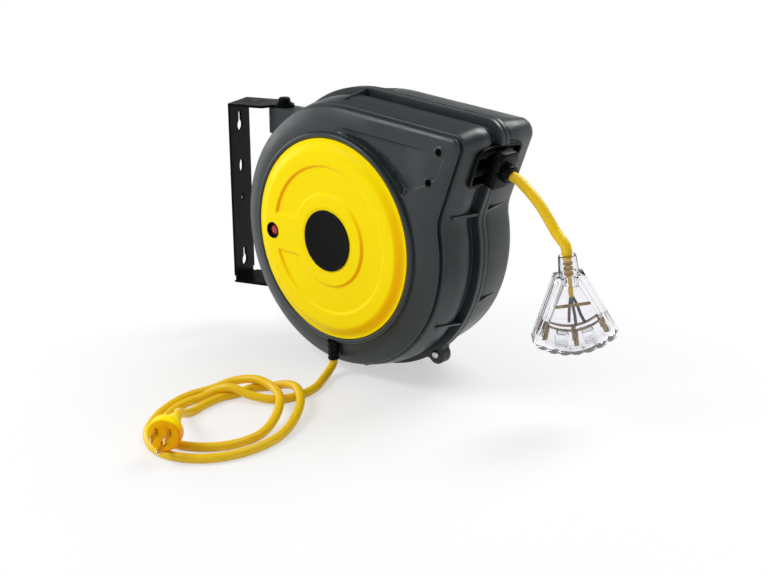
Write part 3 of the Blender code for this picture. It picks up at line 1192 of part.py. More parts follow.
def make_plug(reel):
    rear_r = LEAD_D / 2 + 0.0018
    profile = [(0, 0), (rear_r, 0), (rear_r + 0.0008, 0.0080), (0.0110, 0.0150), (PLUG_R - 0.001, 0.0240),
               (PLUG_R, 0.0260), (PLUG_R, PLUG_LENGTH - 0.0012), (PLUG_R - 0.0012, PLUG_LENGTH),
               (0, PLUG_LENGTH)]
    turn = plug_turn()
    plug = add_object("plug_body", turned_mesh("plug_body", profile, 28), yellow_plastic(), reel,
                      PLUG_REAR, turn)
    rear = Vector(PLUG_REAR)
    blade_size = (0.0015, BLADE_LENGTH + 0.006, 0.0064)
    for name, side in (("hot", 1), ("neutral", -1)):
        spot = rear + turn @ Vector((side * BLADE_SPREAD, PLUG_LENGTH - 0.006 + blade_size[1] / 2, 0.003))
        blade = box_mesh(f"plug_{name}_blade", blade_size)
        add_object(f"plug_{name}_blade", blade, brass(), reel, spot, turn)
        slot = tuple(value + 2 * GAP for value in blade_size)
        boolean(plug, add_cutter(f"{name} blade slot", box_mesh("slot", slot), reel, spot, turn))
    low, high = PLUG_LENGTH - 0.006, PLUG_LENGTH + GROUND_PIN_LENGTH
    pin = turned_mesh("plug_ground_pin", [(0, low), (GROUND_PIN_R, low), (GROUND_PIN_R, high - 0.002),
                                          (GROUND_PIN_R * 0.5, high), (0, high)], 16)
    spot = rear + turn @ Vector((0, 0, 0.003 - GROUND_PIN_DROP))
    add_object("plug_ground_pin", pin, brass(), reel, spot, turn)
    hole = rod_mesh("pin hole", GROUND_PIN_R + GAP, low - GAP, high, 16)
    boolean(plug, add_cutter("ground pin hole", hole, reel, spot, turn))


# ---------------------------------------------------------------- bracket and pivots
def bracket_arm_outline():
    """Plan of an arm, from the wall plate to the rounded end round the pivot."""
    half = BRACKET_WIDTH / 2
    return [(-ARM_REACH, -half), (-ARM_SHOULDER, -half), (-ARM_END_R * 0.7, -ARM_END_R * 0.9),
            *arc(0, 0, ARM_END_R, -math.pi / 2 + 0.4, math.pi / 2 - 0.4, 8),
            (-ARM_END_R * 0.7, ARM_END_R * 0.9), (-ARM_SHOULDER, half), (-ARM_REACH, half)]


def flat_plate(name, outline, low, high):
    """Extrude an outline of (x, y) points along Z."""
    return loft_mesh(name, [[(x, y, z) for x, y in outline] for z in (low, high)], False)


def keyhole_outline(z, hole_r, slot_r, drop):
    """Keyhole: a round hole below a narrow slot. Points are (across, z)."""
    neck = math.asin(slot_r / hole_r)
    round_part = arc(0, z - drop, hole_r, math.pi / 2 + neck, math.pi * 2.5 - neck, 16)
    return round_part + arc(0, z, slot_r, 0, math.pi, 8)


def plate_cutter(bracket, pivot, name, outline):
    """Cut an outline of (across, z) points through the bracket's wall plate."""
    rings = [[(x, across, z) for across, z in outline]
             for x in (-ARM_REACH - BRACKET_THICK, -ARM_REACH + 2 * BRACKET_THICK)]
    boolean(bracket, add_cutter(name, loft_mesh(name, rings, False), pivot))


def make_bracket(pivot):
    top = EAR_TOP_Z + GAP
    bottom = EAR_BOTTOM_Z - GAP
    half = BRACKET_WIDTH / 2
    outer_top, outer_bottom = top + BRACKET_THICK, bottom - BRACKET_THICK
    plate = [(-ARM_REACH, -half), (-ARM_REACH + BRACKET_THICK, -half), (-ARM_REACH + BRACKET_THICK, half),
             (-ARM_REACH, half)]
    bracket = add_object("wall_bracket", flat_plate("wall_bracket", plate, outer_bottom, outer_top),
                         black_steel(), pivot)
    for place, low, high in (("top", top, outer_top), ("bottom", outer_bottom, bottom)):
        arm = flat_plate(f"arm {place}", bracket_arm_outline(), low, high)
        boolean(bracket, add_cutter(f"arm {place}", arm, pivot), "UNION")
        bore = rod_mesh("arm bore", BOLT_R + GAP, low - 0.001, high + 0.001)
        boolean(bracket, add_cutter(f"arm bore {place}", bore, pivot, (0, 0, 0), upright()))
    for place, z in (("upper", KEYHOLE_UPPER_Z), ("lower", KEYHOLE_LOWER_Z)):
        plate_cutter(bracket, pivot, f"keyhole {place}",
                     keyhole_outline(z, KEYHOLE_R, KEYHOLE_SLOT_R, KEYHOLE_DROP))
    plate_cutter(bracket, pivot, "keyhole middle",
                 keyhole_outline(MID_KEYHOLE_Z, MID_KEYHOLE_R, MID_KEYHOLE_SLOT_R, MID_KEYHOLE_DROP))
    plate_cutter(bracket, pivot, "oval hole",
                 [(across, OVAL_Z + height * OVAL_STRETCH)
                  for across, height in arc(0, 0, OVAL_HALF_WIDTH, 0, 2 * math.pi, 16)[:-1]])
    for place, side in (("front", -1), ("rear", 1)):
        notch = box_mesh("bend relief", (4 * BRACKET_THICK, BEND_RELIEF, BEND_RELIEF),
                         (-ARM_REACH, side * half, bottom + BEND_RELIEF / 3))
        boolean(bracket, add_cutter(f"bend relief {place}", notch, pivot))


def make_pivots(pivot):
    for place, way, arm in (("upper", 1, EAR_TOP_Z + GAP + BRACKET_THICK),
                            ("lower", -1, EAR_BOTTOM_Z - GAP - BRACKET_THICK)):
        face = arm - way * (BRACKET_THICK + GAP)
        washer = sorted((arm + way * GAP, arm + way * (GAP + WASHER_THICK)))
        ring = [(BOLT_R + GAP, washer[0]), (WASHER_R, washer[0]), (WASHER_R, washer[1]),
                (BOLT_R + GAP, washer[1])]
        add_object(f"pivot_washer_{place}", turned_mesh("washer", ring, 24), black_steel(), pivot, (0, 0, 0),
                   upright())
        seat = arm + way * (2 * GAP + WASHER_THICK)
        tail = face - way * (INSERT_LENGTH - 0.0020)
        bolt = [(0, seat + way * BOLT_HEAD_HEIGHT), (BOLT_HEAD_R * 0.8, seat + way * BOLT_HEAD_HEIGHT),
                (BOLT_HEAD_R, seat + way * BOLT_HEAD_HEIGHT * 0.7), (BOLT_HEAD_R, seat), (BOLT_R, seat),
                (BOLT_R, tail), (0, tail)]
        add_object(f"pivot_bolt_{place}", turned_mesh("bolt", bolt, 24), black_steel(), pivot, (0, 0, 0),
                   upright())
        ends = sorted((face - way * GAP, face - way * (INSERT_LENGTH + GAP)))
        tube = [(BOLT_R + GAP, ends[0]), (INSERT_R, ends[0]), (INSERT_R, ends[1]), (BOLT_R + GAP, ends[1])]
        add_object(f"pivot_insert_{place}", turned_mesh("insert", tube, 24), brass(), pivot, (0, 0, 0),
                   upright())


def add_empty(name, location, parent=None, rotation=None):
    empty = bpy.data.objects.new(name, None)
    bpy.context.scene.collection.objects.link(empty)
    empty.location = location
    empty.parent = parent
    if rotation is not None:
        empty.rotation_euler = rotation.to_euler()
    return empty


def main():
    clear_scene()
    reel = add_empty("reel frame", REEL_ORIGIN)
    pivot = add_empty("bracket pivot", (PIVOT_X, SEAM_Y, 0), reel, Matrix.Rotation(SWIVEL_REST, 3, "Z"))
    make_housing(reel)
    make_screws(reel)
    make_cover(reel)
    make_breaker(reel)
    make_axle(reel)
    make_drum(reel)
    make_main_spring(reel)
    make_ratchet(reel)
    make_slip_rings(reel)
    make_guide(reel)
    make_stopper(reel)
    make_cords(reel)
    make_relief(reel)
    make_tap(reel)
    make_plug(reel)
    make_bracket(pivot)
    make_pivots(pivot)


main()
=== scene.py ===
"""Looks of a retractable extension cord reel, laid out as a Blender add-on and run as a script.

Every length is in metres. Shapes of the reel are worked out in the reel's own frame, whose Y axis
is the drum's axis, with y = 0 in the plane of the cover's rim, +X towards the cord outlet and +Z up.
"""

import json
import math

import bmesh
import bpy
import numpy as np
from mathutils import Matrix, Vector

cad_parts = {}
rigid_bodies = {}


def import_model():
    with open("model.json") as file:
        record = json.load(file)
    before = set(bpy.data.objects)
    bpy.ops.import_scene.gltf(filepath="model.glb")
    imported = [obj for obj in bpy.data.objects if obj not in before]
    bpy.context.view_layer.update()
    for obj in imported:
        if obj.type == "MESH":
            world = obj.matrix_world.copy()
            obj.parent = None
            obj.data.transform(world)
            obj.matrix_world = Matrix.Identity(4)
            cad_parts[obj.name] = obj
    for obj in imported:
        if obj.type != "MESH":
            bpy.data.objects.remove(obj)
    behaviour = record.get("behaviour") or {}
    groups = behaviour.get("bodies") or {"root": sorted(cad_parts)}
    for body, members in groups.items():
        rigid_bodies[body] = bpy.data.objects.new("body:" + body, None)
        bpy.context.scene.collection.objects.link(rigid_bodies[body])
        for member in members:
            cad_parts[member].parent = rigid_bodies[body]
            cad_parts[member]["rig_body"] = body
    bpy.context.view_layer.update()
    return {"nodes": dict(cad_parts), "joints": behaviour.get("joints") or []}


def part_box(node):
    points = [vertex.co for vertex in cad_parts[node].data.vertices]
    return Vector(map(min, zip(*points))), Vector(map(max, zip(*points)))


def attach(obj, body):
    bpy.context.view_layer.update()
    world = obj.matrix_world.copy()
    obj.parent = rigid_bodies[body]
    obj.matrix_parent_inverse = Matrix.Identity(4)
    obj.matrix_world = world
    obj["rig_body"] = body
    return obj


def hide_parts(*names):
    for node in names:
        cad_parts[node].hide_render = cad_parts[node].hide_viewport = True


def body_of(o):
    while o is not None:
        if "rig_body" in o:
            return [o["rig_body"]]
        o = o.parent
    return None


bl_info = {
    "name": "Extension Cord Reel",
    "version": (1, 0, 0),
    "blender": (4, 5, 0),
    "location": "View3D > Sidebar > Cord Reel",
    "description": "Finishes of a wall-mounted retractable extension cord reel",
    "category": "Object",
}

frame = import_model()
JOINTS = {joint["name"]: joint for joint in frame["joints"]}

SEAM_Y = 0.068
REEL = np.array(JOINTS["drum_spin"]["pos_m"]) - (0.0, SEAM_Y, 0.0)
END_LEAN = math.radians(20.0)
TOP_TILT = math.radians(4.0)
END_NORMAL = np.array([math.cos(END_LEAN), 0.0, -math.sin(END_LEAN)])
END_UP = np.array([math.sin(END_LEAN), 0.0, math.cos(END_LEAN)])
FLOOR_DROP = 0.153
FLOOR_Z = REEL[2] - FLOOR_DROP


# ---------------------------------------------------------------- sizes and colours
class ReelSizes(bpy.types.PropertyGroup):
    """Sizes of the surfaces that dress the reel."""

    body_r: bpy.props.FloatProperty(
        name="Body radius", description="Round part of the housing at its front edge",
        default=0.140, unit="LENGTH")
    cover_r: bpy.props.FloatProperty(
        name="Cover radius", description="Radius of the round front cover", default=0.108, unit="LENGTH")
    cover_rise: bpy.props.FloatProperty(
        name="Cover rise", description="How far the cover's plateau stands ahead of its rim",
        default=0.005, unit="LENGTH")
    channel_outer_r: bpy.props.FloatProperty(
        name="Channel outer radius", description="Outer edge of the sunk C-shaped channel",
        default=0.081, unit="LENGTH")
    channel_inner_r: bpy.props.FloatProperty(
        name="Channel inner radius", description="Inner edge of the sunk C-shaped channel",
        default=0.048, unit="LENGTH")
    channel_depth: bpy.props.FloatProperty(
        name="Channel depth", description="Depth of the C-shaped channel", default=0.0022, unit="LENGTH")
    recess_depth: bpy.props.FloatProperty(
        name="Panel depth", description="Depth of the sunk panel on the nose", default=0.0045, unit="LENGTH")
    cord_d: bpy.props.FloatProperty(
        name="Output cord diameter", description="Jacket diameter of the reeled cord",
        default=0.0105, unit="LENGTH")
    lead_d: bpy.props.FloatProperty(
        name="Input lead diameter", description="Jacket diameter of the input lead",
        default=0.0092, unit="LENGTH")
    edge_bevel: bpy.props.FloatProperty(
        name="Edge rounding", description="Rounding of the edges of moulded and pressed pieces",
        default=0.0004, unit="LENGTH")


class ReelColours(bpy.types.PropertyGroup):
    """Base colours of the finishes."""

    housing: bpy.props.FloatVectorProperty(
        name="Housing", description="Slate grey moulded plastic", subtype="COLOR",
        default=(0.022, 0.029, 0.031))
    cover: bpy.props.FloatVectorProperty(
        name="Cover", description="Yellow moulded cover", subtype="COLOR", default=(1.0, 0.77, 0.0))
    cord: bpy.props.FloatVectorProperty(
        name="Cord", description="Yellow cord jacket", subtype="COLOR", default=(0.90, 0.59, 0.004))
    black: bpy.props.FloatVectorProperty(
        name="Black plastic", description="Guide, stopper, boot and label", subtype="COLOR",
        default=(0.0035, 0.0035, 0.0038))
    steel_paint: bpy.props.FloatVectorProperty(
        name="Painted steel", description="Black paint of the wall bracket", subtype="COLOR",
        default=(0.0035, 0.0035, 0.0038))
    button: bpy.props.FloatVectorProperty(
        name="Reset button", description="Red reset button", subtype="COLOR", default=(0.45, 0.005, 0.012))
    floor: bpy.props.FloatVectorProperty(
        name="Floor", description="Pale studio floor", subtype="COLOR", default=(0.86, 0.86, 0.87))


def sizes():
    return bpy.context.scene.reel_sizes


def colours():
    return bpy.context.scene.reel_colours


# ---------------------------------------------------------------- meshes
def grid_faces(rows, cols, close_rows=False):
    """Quads of a grid: each cell joins a point to its right, upper right and upper neighbours."""
    r, c = np.meshgrid(np.arange(rows if close_rows else rows - 1), np.arange(cols), indexing="ij")
    r1, c1 = (r + 1) % rows, (c + 1) % cols
    quads = np.stack([r * cols + c, r * cols + c1, r1 * cols + c1, r1 * cols + c], axis=-1)
    return quads.reshape(-1, 4)


def linked(name, data):
    obj = bpy.data.objects.new(name, data)
    bpy.context.scene.collection.objects.link(obj)
    return obj


def welded_mesh(name, points, faces):
    """A mesh from arrays of points and faces, welded, with its faces turned outwards."""
    mesh = bpy.data.meshes.new(name)
    mesh.from_pydata(points.tolist(), [], faces.tolist())
    bm = bmesh.new()
    bm.from_mesh(mesh)
    bmesh.ops.remove_doubles(bm, verts=bm.verts, dist=1e-6)
    bmesh.ops.recalc_face_normals(bm, faces=bm.faces)
    bm.to_mesh(mesh)
    bm.free()
    return mesh


def new_piece(name, points, faces, finish, body, replaced=(), smooth=35.0):
    mesh = welded_mesh(name, points.reshape(-1, 3), faces)
    return add_piece(name, mesh, finish, body, replaced, smooth)


def add_piece(name, mesh, finish, body, replaced=(), smooth=35.0):
    mesh.shade_smooth()
    mesh.set_sharp_from_angle(angle=math.radians(smooth))
    obj = linked(name, mesh)
    mesh.materials.clear()
    mesh.materials.append(finish_of(finish))
    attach(obj, body)
    if replaced:
        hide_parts(*replaced)
    return obj


def grid_piece(name, points, finish, body, replaced=(), close_rows=False, smooth=35.0):
    """A piece from a grid of points, rows by columns, whose columns run round and close."""
    faces = grid_faces(*points.shape[:2], close_rows)
    return new_piece(name, points, faces, finish, body, replaced, smooth)


def bend_corners(path, fillet, steps=5, extra=0):
    """Rows along a polyline of control rows, with each inner corner rounded by a quadratic curve.

    Between corners a and c with corner b, the curve is (1-t)^2 A + 2t(1-t) b + t^2 C, where A and C lie
    on the two sides at the fillet's distance from b, and at most 45% of a side away. fillet is one
    value, or one for each inner corner. extra adds that many rows between two corners.
    """
    path = np.asarray(path, float)
    inner = len(path) - 2
    fillets = np.broadcast_to(np.asarray(fillet, float), (inner,))
    t = np.linspace(0.0, 1.0, steps).reshape((-1,) + (1,) * (path.ndim - 1))
    rows = [path[:1]]
    for before, at, after, radius in zip(path[:-2], path[1:-1], path[2:], fillets):
        pieces = []
        for other in (before, after):
            gap = np.linalg.norm(other - at, axis=-1, keepdims=True)
            share = np.minimum(radius / np.maximum(gap, 1e-9), 0.45)
            pieces.append(at + (other - at) * share)
        start, end = pieces
        if extra:
            mid = np.linspace(0.0, 1.0, extra + 2)[1:-1].reshape((-1,) + (1,) * (path.ndim - 1))
            rows.append(rows[-1][-1:] * (1 - mid) + start[None] * mid)
        rows.append((1 - t) ** 2 * start + 2 * t * (1 - t) * at + t ** 2 * end)
    rows.append(path[-1:])
    return np.concatenate(rows)


def turned_points(profile, cols):
    """Profile of (radius, y) points carried round the Y axis: (r cos a, y, r sin a)."""
    profile = np.asarray(profile, float)
    a = np.linspace(0.0, 2 * math.pi, cols, endpoint=False)
    r, y = profile[:, :1], profile[:, 1:]
    return np.stack([r * np.cos(a), y + 0 * a, r * np.sin(a)], axis=-1)


def turned_piece(name, profile, cols, finish, body, replaced=(), origin=None, turn=None, fillet=0.0004):
    """A turned solid on the Y axis through origin, with its profile's corners rounded."""
    soft = bend_corners(profile, fillet, 4) if fillet else np.asarray(profile, float)
    points = turned_points(soft, cols)
    if turn is not None:
        points = points @ np.asarray(turn, float).T
    points = points + (REEL if origin is None else np.asarray(origin, float))
    closed = np.linalg.norm(np.asarray(profile[0]) - np.asarray(profile[-1])) < 1e-9
    return grid_piece(name, points, finish, body, replaced, close_rows=closed)


def along(path, spacing):
    """Points at an even spacing along a centripetal curve through a cord's route.

    Between two points of the route the curve is the Catmull-Rom cubic whose knots lie as far apart as
    the square root of the chords, so it neither loops nor overshoots.
    """
    pts = np.asarray(path, float)
    pts = np.vstack([2 * pts[0] - pts[1], pts, 2 * pts[-1] - pts[-2]])
    chord = np.maximum(np.linalg.norm(np.diff(pts, axis=0), axis=1), 1e-6) ** 0.5
    knots = np.concatenate([[0.0], np.cumsum(chord)])
    dense = []
    for k in range(1, len(pts) - 2):
        t0, t1, t2, t3 = knots[k - 1:k + 3]
        a, b, c, d = pts[k - 1:k + 3]
        u = np.linspace(t1, t2, 25)[:, None]
        ab = a * (t1 - u) / (t1 - t0) + b * (u - t0) / (t1 - t0)
        bc = b * (t2 - u) / (t2 - t1) + c * (u - t1) / (t2 - t1)
        cd = c * (t3 - u) / (t3 - t2) + d * (u - t2) / (t3 - t2)
        abc = ab * (t2 - u) / (t2 - t0) + bc * (u - t0) / (t2 - t0)
        bcd = bc * (t3 - u) / (t3 - t1) + cd * (u - t1) / (t3 - t1)
        part = abc * (t2 - u) / (t2 - t1) + bcd * (u - t1) / (t2 - t1)
        dense.append(part if k == 1 else part[1:])
    dense = np.vstack(dense)
    walked = np.concatenate([[0.0], np.cumsum(np.linalg.norm(np.diff(dense, axis=0), axis=1))])
    count = max(2, int(round(walked[-1] / spacing)))
    marks = np.linspace(0.0, walked[-1], count + 1)
    return np.stack([np.interp(marks, walked, dense[:, k]) for k in range(3)], axis=1), walked[-1]


def carried_frames(path):
    """Two unit normals at each point of a path, carried along it with the least turning."""
    tangent = np.gradient(path, axis=0)
    tangent /= np.linalg.norm(tangent, axis=1, keepdims=True)
    first = np.cross(tangent[0], (0.0, 1.0, 0.3))
    normal = first / np.linalg.norm(first)
    normals = [normal]
    for t in tangent[1:]:
        normal = normal - t * normal.dot(t)
        normal = normal / np.linalg.norm(normal)
        normals.append(normal)
    normals = np.array(normals)
    return normals, np.cross(tangent, normals)


def tube_points(path, radius, sides):
    """Rings of a tube: centre + r (n cos a + b sin a), with both ends drawn in to a point."""
    normal, other = carried_frames(path)
    a = np.linspace(0.0, 2 * math.pi, sides, endpoint=False)
    ring = normal[:, None] * np.cos(a)[None, :, None] + other[:, None] * np.sin(a)[None, :, None]
    points = path[:, None] + radius * ring
    start = np.broadcast_to(path[0], points[0].shape)[None]
    end = np.broadcast_to(path[-1], points[0].shape)[None]
    return np.concatenate([start, points, end])


def solid(points):
    """Closed mesh data of a grid of points: its points and its quads."""
    return points.reshape(-1, 3), grid_faces(*points.shape[:2])


def capped(rows):
    """Solid of a few rings, with both ends drawn in to the middle of their ring."""
    ends = [np.broadcast_to(row.mean(axis=0), row.shape)[None] for row in (rows[0], rows[-1])]
    return solid(np.concatenate([ends[0], rows, ends[1]]))


def prism(outline, low, high, soft=0.0006):
    """Solid of an outline of (x, z) points between two levels of Y, with its rims rounded.

    Near each end the outline is drawn in along a quarter circle: at the angle t from the wall it has
    moved in by soft (1 - cos t) and reached soft (1 - sin t) from the end.
    """
    outline = np.asarray(outline, float)
    ahead, behind = np.roll(outline, -1, axis=0) - outline, outline - np.roll(outline, 1, axis=0)
    normals = [np.stack([d[:, 1], -d[:, 0]], axis=1) / np.linalg.norm(d, axis=1, keepdims=True)
               for d in (ahead, behind)]
    both = normals[0] + normals[1]
    both = both * 2 / np.sum(both * both, axis=1, keepdims=True)
    area = np.sum(outline[:, 0] * np.roll(outline[:, 1], -1) - np.roll(outline[:, 0], -1) * outline[:, 1])
    both = both * math.copysign(1.0, area)
    t = np.linspace(0.0, math.pi / 2, 4)
    moved, level = soft * (1 - np.cos(t)), soft * (1 - np.sin(t))
    rings = [(m, low + v) for m, v in zip(moved[::-1], level[::-1])]
    rings += [(m, high - v) for m, v in zip(moved, level)]
    rows = [np.insert(outline - both * m, 1, y, axis=1) for m, y in rings]
    middle = outline.mean(axis=0)
    rows.insert(0, np.broadcast_to((middle[0], low, middle[1]), rows[0].shape))
    rows.append(np.broadcast_to((middle[0], high, middle[1]), rows[0].shape))
    return solid(np.stack(rows))


def joined(parts, turn=None, origin=(0.0, 0.0, 0.0)):
    """Several solids in one, each turned and set at an origin."""
    points, faces, count = [], [], 0
    for part_points, part_faces in parts:
        points.append(part_points if turn is None else part_points @ np.asarray(turn).T)
        faces.append(part_faces + count)
        count += len(part_points)
    return np.concatenate(points) + origin, np.concatenate(faces)


def carve(piece, steps):
    """Joins or cuts a piece with solids, given as (operation, points, faces), and keeps the result."""
    tools = []
    for operation, points, faces in steps:
        tool = linked("tool", welded_mesh("tool", points, faces))
        cut = piece.modifiers.new(operation, "BOOLEAN")
        cut.object = tool
        cut.operation = operation
        cut.solver = "EXACT"
        tools.append(tool)
    graph = bpy.context.evaluated_depsgraph_get()
    baked = bpy.data.meshes.new_from_object(piece.evaluated_get(graph))
    old, finish = piece.data, piece.data.materials[0]
    piece.modifiers.clear()
    piece.data = baked
    baked.materials.clear()
    baked.materials.append(finish)
    baked.shade_smooth()
    baked.set_sharp_from_angle(angle=math.radians(35.0))
    bpy.data.meshes.remove(old)
    for tool in tools:
        shape = tool.data
        bpy.data.objects.remove(tool)
        bpy.data.meshes.remove(shape)


def dress(node, finish, bevel=None):
    """A copy of a node's own solid, merged, with flat faces joined and its edges rounded."""
    source = frame["nodes"][node]
    mesh = source.data.copy()
    bm = bmesh.new()
    bm.from_mesh(mesh)
    bmesh.ops.remove_doubles(bm, verts=bm.verts, dist=1e-6)
    bmesh.ops.dissolve_limit(bm, angle_limit=math.radians(0.6), verts=bm.verts, edges=bm.edges)
    bm.to_mesh(mesh)
    bm.free()
    piece = add_piece(f"{node}_finish", mesh, finish, body_of(source)[0], (node,))
    edge = piece.modifiers.new("rounded edges", "BEVEL")
    edge.width = sizes().edge_bevel if bevel is None else bevel
    edge.segments = 2
    edge.limit_method = "ANGLE"
    edge.angle_limit = math.radians(28.0)
    edge.harden_normals = False
    return piece


# ---------------------------------------------------------------- finishes
class Finish:
    """A small builder of node materials on Object coordinates."""

    def __init__(self, name, base, roughness, metallic=0.0, **sockets):
        self.material = bpy.data.materials.new(name)
        self.material.use_nodes = True
        self.nodes = self.material.node_tree.nodes
        self.links = self.material.node_tree.links
        self.shader = self.nodes["Principled BSDF"]
        self.shader.inputs["Base Color"].default_value = (*base, 1.0)
        self.shader.inputs["Roughness"].default_value = roughness
        self.shader.inputs["Metallic"].default_value = metallic
        for socket, value in sockets.items():
            self.shader.inputs[socket.replace("_", " ")].default_value = value
        self.where = self.nodes.new("ShaderNodeTexCoord").outputs["Object"]
        self.last_bump = None

    def noise(self, scale, detail=4.0, stretch=None):
        where = self.where
        if stretch:
            mapping = self.nodes.new("ShaderNodeMapping")
            mapping.inputs["Scale"].default_value = stretch
            self.links.new(where, mapping.inputs["Vector"])
            where = mapping.outputs["Vector"]
        node = self.nodes.new("ShaderNodeTexNoise")
        for socket, value in (("Scale", scale), ("Detail", detail), ("Roughness", 0.55)):
            node.inputs[socket].default_value = value
        self.links.new(where, node.inputs["Vector"])
        return node.outputs["Fac"]

    def painted_shade_facing(self, way):
        """How far the surface is turned towards a direction, from -1 to 1; used as the mask of a painted shade."""
        node = self.nodes.new("ShaderNodeVectorMath")
        node.operation = "DOT_PRODUCT"
        self.links.new(self.nodes.new("ShaderNodeTexCoord").outputs["Normal"], node.inputs[0])
        node.inputs[1].default_value = way
        return node.outputs["Value"]

    def spread(self, value, low, high, from_low=0.35, from_high=0.65):
        node = self.nodes.new("ShaderNodeMapRange")
        for socket, limit in (("From Min", from_low), ("From Max", from_high), ("To Min", low), ("To Max", high)):
            node.inputs[socket].default_value = limit
        self.links.new(value, node.inputs["Value"])
        return node.outputs["Result"]

    def roughen(self, value, low, high):
        self.links.new(self.spread(value, low, high), self.shader.inputs["Roughness"])

    def tint(self, value, dark, light, low=0.35, high=0.65):
        mix = self.nodes.new("ShaderNodeMix")
        mix.data_type = "RGBA"
        mix.inputs["A"].default_value = (*dark, 1.0)
        mix.inputs["B"].default_value = (*light, 1.0)
        self.links.new(self.spread(value, 0.0, 1.0, low, high), mix.inputs["Factor"])
        self.links.new(mix.outputs["Result"], self.shader.inputs["Base Color"])

    def bump(self, value, height, strength=1.0):
        node = self.nodes.new("ShaderNodeBump")
        node.inputs["Strength"].default_value = strength
        node.inputs["Distance"].default_value = height
        self.links.new(value, node.inputs["Height"])
        if self.last_bump:
            self.links.new(self.last_bump, node.inputs["Normal"])
        self.last_bump = node.outputs["Normal"]
        self.links.new(self.last_bump, self.shader.inputs["Normal"])


def shade(base, factor):
    """A colour times one factor, or one for each channel."""
    factors = factor if isinstance(factor, tuple) else (factor,) * 3
    return tuple(min(1.0, channel * share) for channel, share in zip(base, factors))


# base names one of ReelColours, and then the two tones of the tint are factors of it, or it is a colour,
# and then the tones are colours. tint: noise scale and tones. roughen: noise scale, low and high.
# bump: noise scale, detail, height and strength. turned: direction, and where a painted shade tint starts and ends.
FINISHES = {
    "slate_plastic": dict(base="housing", roughness=0.36, Specular_IOR_Level=0.40, tint=(6.0, 0.88, 1.12),
                          roughen=(38.0, 0.30, 0.42), bump=(2600.0, 2.0, 0.00006, 0.5)),
    # Painted shade: the yellow turns a darker orange on faces turned towards +X and down, away from the key lamp.
    "yellow_plastic": dict(base="cover", roughness=0.36, Specular_IOR_Level=0.06,
                           turned=((0.90, 0.0, -0.44), 0.10, 0.75), tint=(0.0, 1.0, (1.0, 0.38, 1.0)),
                           roughen=(30.0, 0.28, 0.40), bump=(1800.0, 2.0, 0.00003, 0.4)),
    "black_plastic": dict(base="black", roughness=0.34, Specular_IOR_Level=0.09, tint=(12.0, 0.7, 1.3),
                          roughen=(60.0, 0.24, 0.38), bump=(2200.0, 2.0, 0.00004, 0.4)),
    "roller_plastic": dict(base=(0.020, 0.020, 0.021), roughness=0.26, roughen=(120.0, 0.2, 0.34),
                           tint=(50.0, (0.014, 0.014, 0.015), (0.030, 0.030, 0.031))),
    "label_print": dict(base="black", roughness=0.26, Specular_IOR_Level=0.05, Coat_Weight=0.02,
                        Coat_Roughness=0.08, tint=(9.0, 1.0, 1.3), roughen=(80.0, 0.18, 0.26)),
    "bracket_paint": dict(base="steel_paint", roughness=0.34, Specular_IOR_Level=0.03, tint=(16.0, 1.0, 1.8),
                          roughen=(90.0, 0.28, 0.42), bump=(700.0, 3.0, 0.00005, 0.5)),
    "bright_zinc": dict(base=(0.62, 0.62, 0.60), roughness=0.32, metallic=1.0, roughen=(220.0, 0.24, 0.40),
                        tint=(60.0, (0.52, 0.52, 0.50), (0.68, 0.68, 0.67)), bump=(900.0, 3.0, 0.00003, 0.4)),
    "blued_spring": dict(base=(0.20, 0.22, 0.28), roughness=0.30, metallic=1.0, roughen=(150.0, 0.24, 0.38),
                         tint=(40.0, (0.16, 0.17, 0.24), (0.26, 0.28, 0.32))),
    "contact_brass": dict(base=(0.80, 0.58, 0.25), roughness=0.26, metallic=1.0, roughen=(260.0, 0.18, 0.34),
                          tint=(80.0, (0.66, 0.46, 0.18), (0.86, 0.66, 0.32)), bump=(1200.0, 2.0, 0.00002, 0.4)),
    "bus_brass": dict(base=(0.20, 0.14, 0.06), roughness=0.30, metallic=1.0, roughen=(260.0, 0.22, 0.38),
                      tint=(140.0, (0.09, 0.06, 0.03), (0.34, 0.25, 0.12)), stretch=(1.0, 1.0, 0.25)),
    "brush_carbon": dict(base=(0.05, 0.035, 0.03), roughness=0.6, roughen=(400.0, 0.5, 0.7),
                         tint=(300.0, (0.035, 0.025, 0.02), (0.09, 0.06, 0.045))),
    "red_button": dict(base="button", roughness=0.25, Coat_Weight=0.3, Coat_Roughness=0.1,
                       tint=(120.0, 0.8, 1.0), roughen=(200.0, 0.2, 0.32)),
    "cord_jacket": dict(base="cord", roughness=0.36, Specular_IOR_Level=0.35, tint=(24.0, (0.97, 0.93, 1.0), 1.0),
                        roughen=(120.0, 0.30, 0.42), bump=(900.0, 3.0, 0.00001, 0.5)),
    "cord_filler": dict(base=(0.42, 0.23, 0.02), roughness=0.4, roughen=(260.0, 0.34, 0.48),
                        tint=(220.0, (0.26, 0.13, 0.012), (0.52, 0.31, 0.03))),
    "clear_plastic": dict(base=(0.945, 0.94, 0.965), roughness=0.04, Transmission_Weight=1.0, IOR=1.49,
                          roughen=(60.0, 0.02, 0.07), bump=(160.0, 2.0, 0.00005, 0.3)),
}


def build_finish(name, base, roughness, roughen, tint=None, bump=None, metallic=0.0, stretch=None, turned=None,
                 **sockets):
    named = isinstance(base, str)
    base = tuple(getattr(colours(), base)) if named else base
    finish = Finish(name, base, roughness, metallic, **sockets)
    if tint:
        scale, *tones = tint
        dark, light = (shade(base, tone) for tone in tones) if named else tones
        # A turned tint is painted shade: it follows the way a face points, not the thing's own colour.
        if turned:
            way, low, high = turned
            finish.tint(finish.painted_shade_facing(way), dark, light, low, high)
        else:
            finish.tint(finish.noise(scale, stretch=stretch), dark, light)
    finish.roughen(finish.noise(roughen[0]), *roughen[1:])
    if bump:
        finish.bump(finish.noise(*bump[:2]), *bump[2:])
    return finish.material


def finish_of(name):
    """The material of a finish, made once and handed out again."""
    return bpy.data.materials.get(name) or build_finish(name, **FINISHES[name])


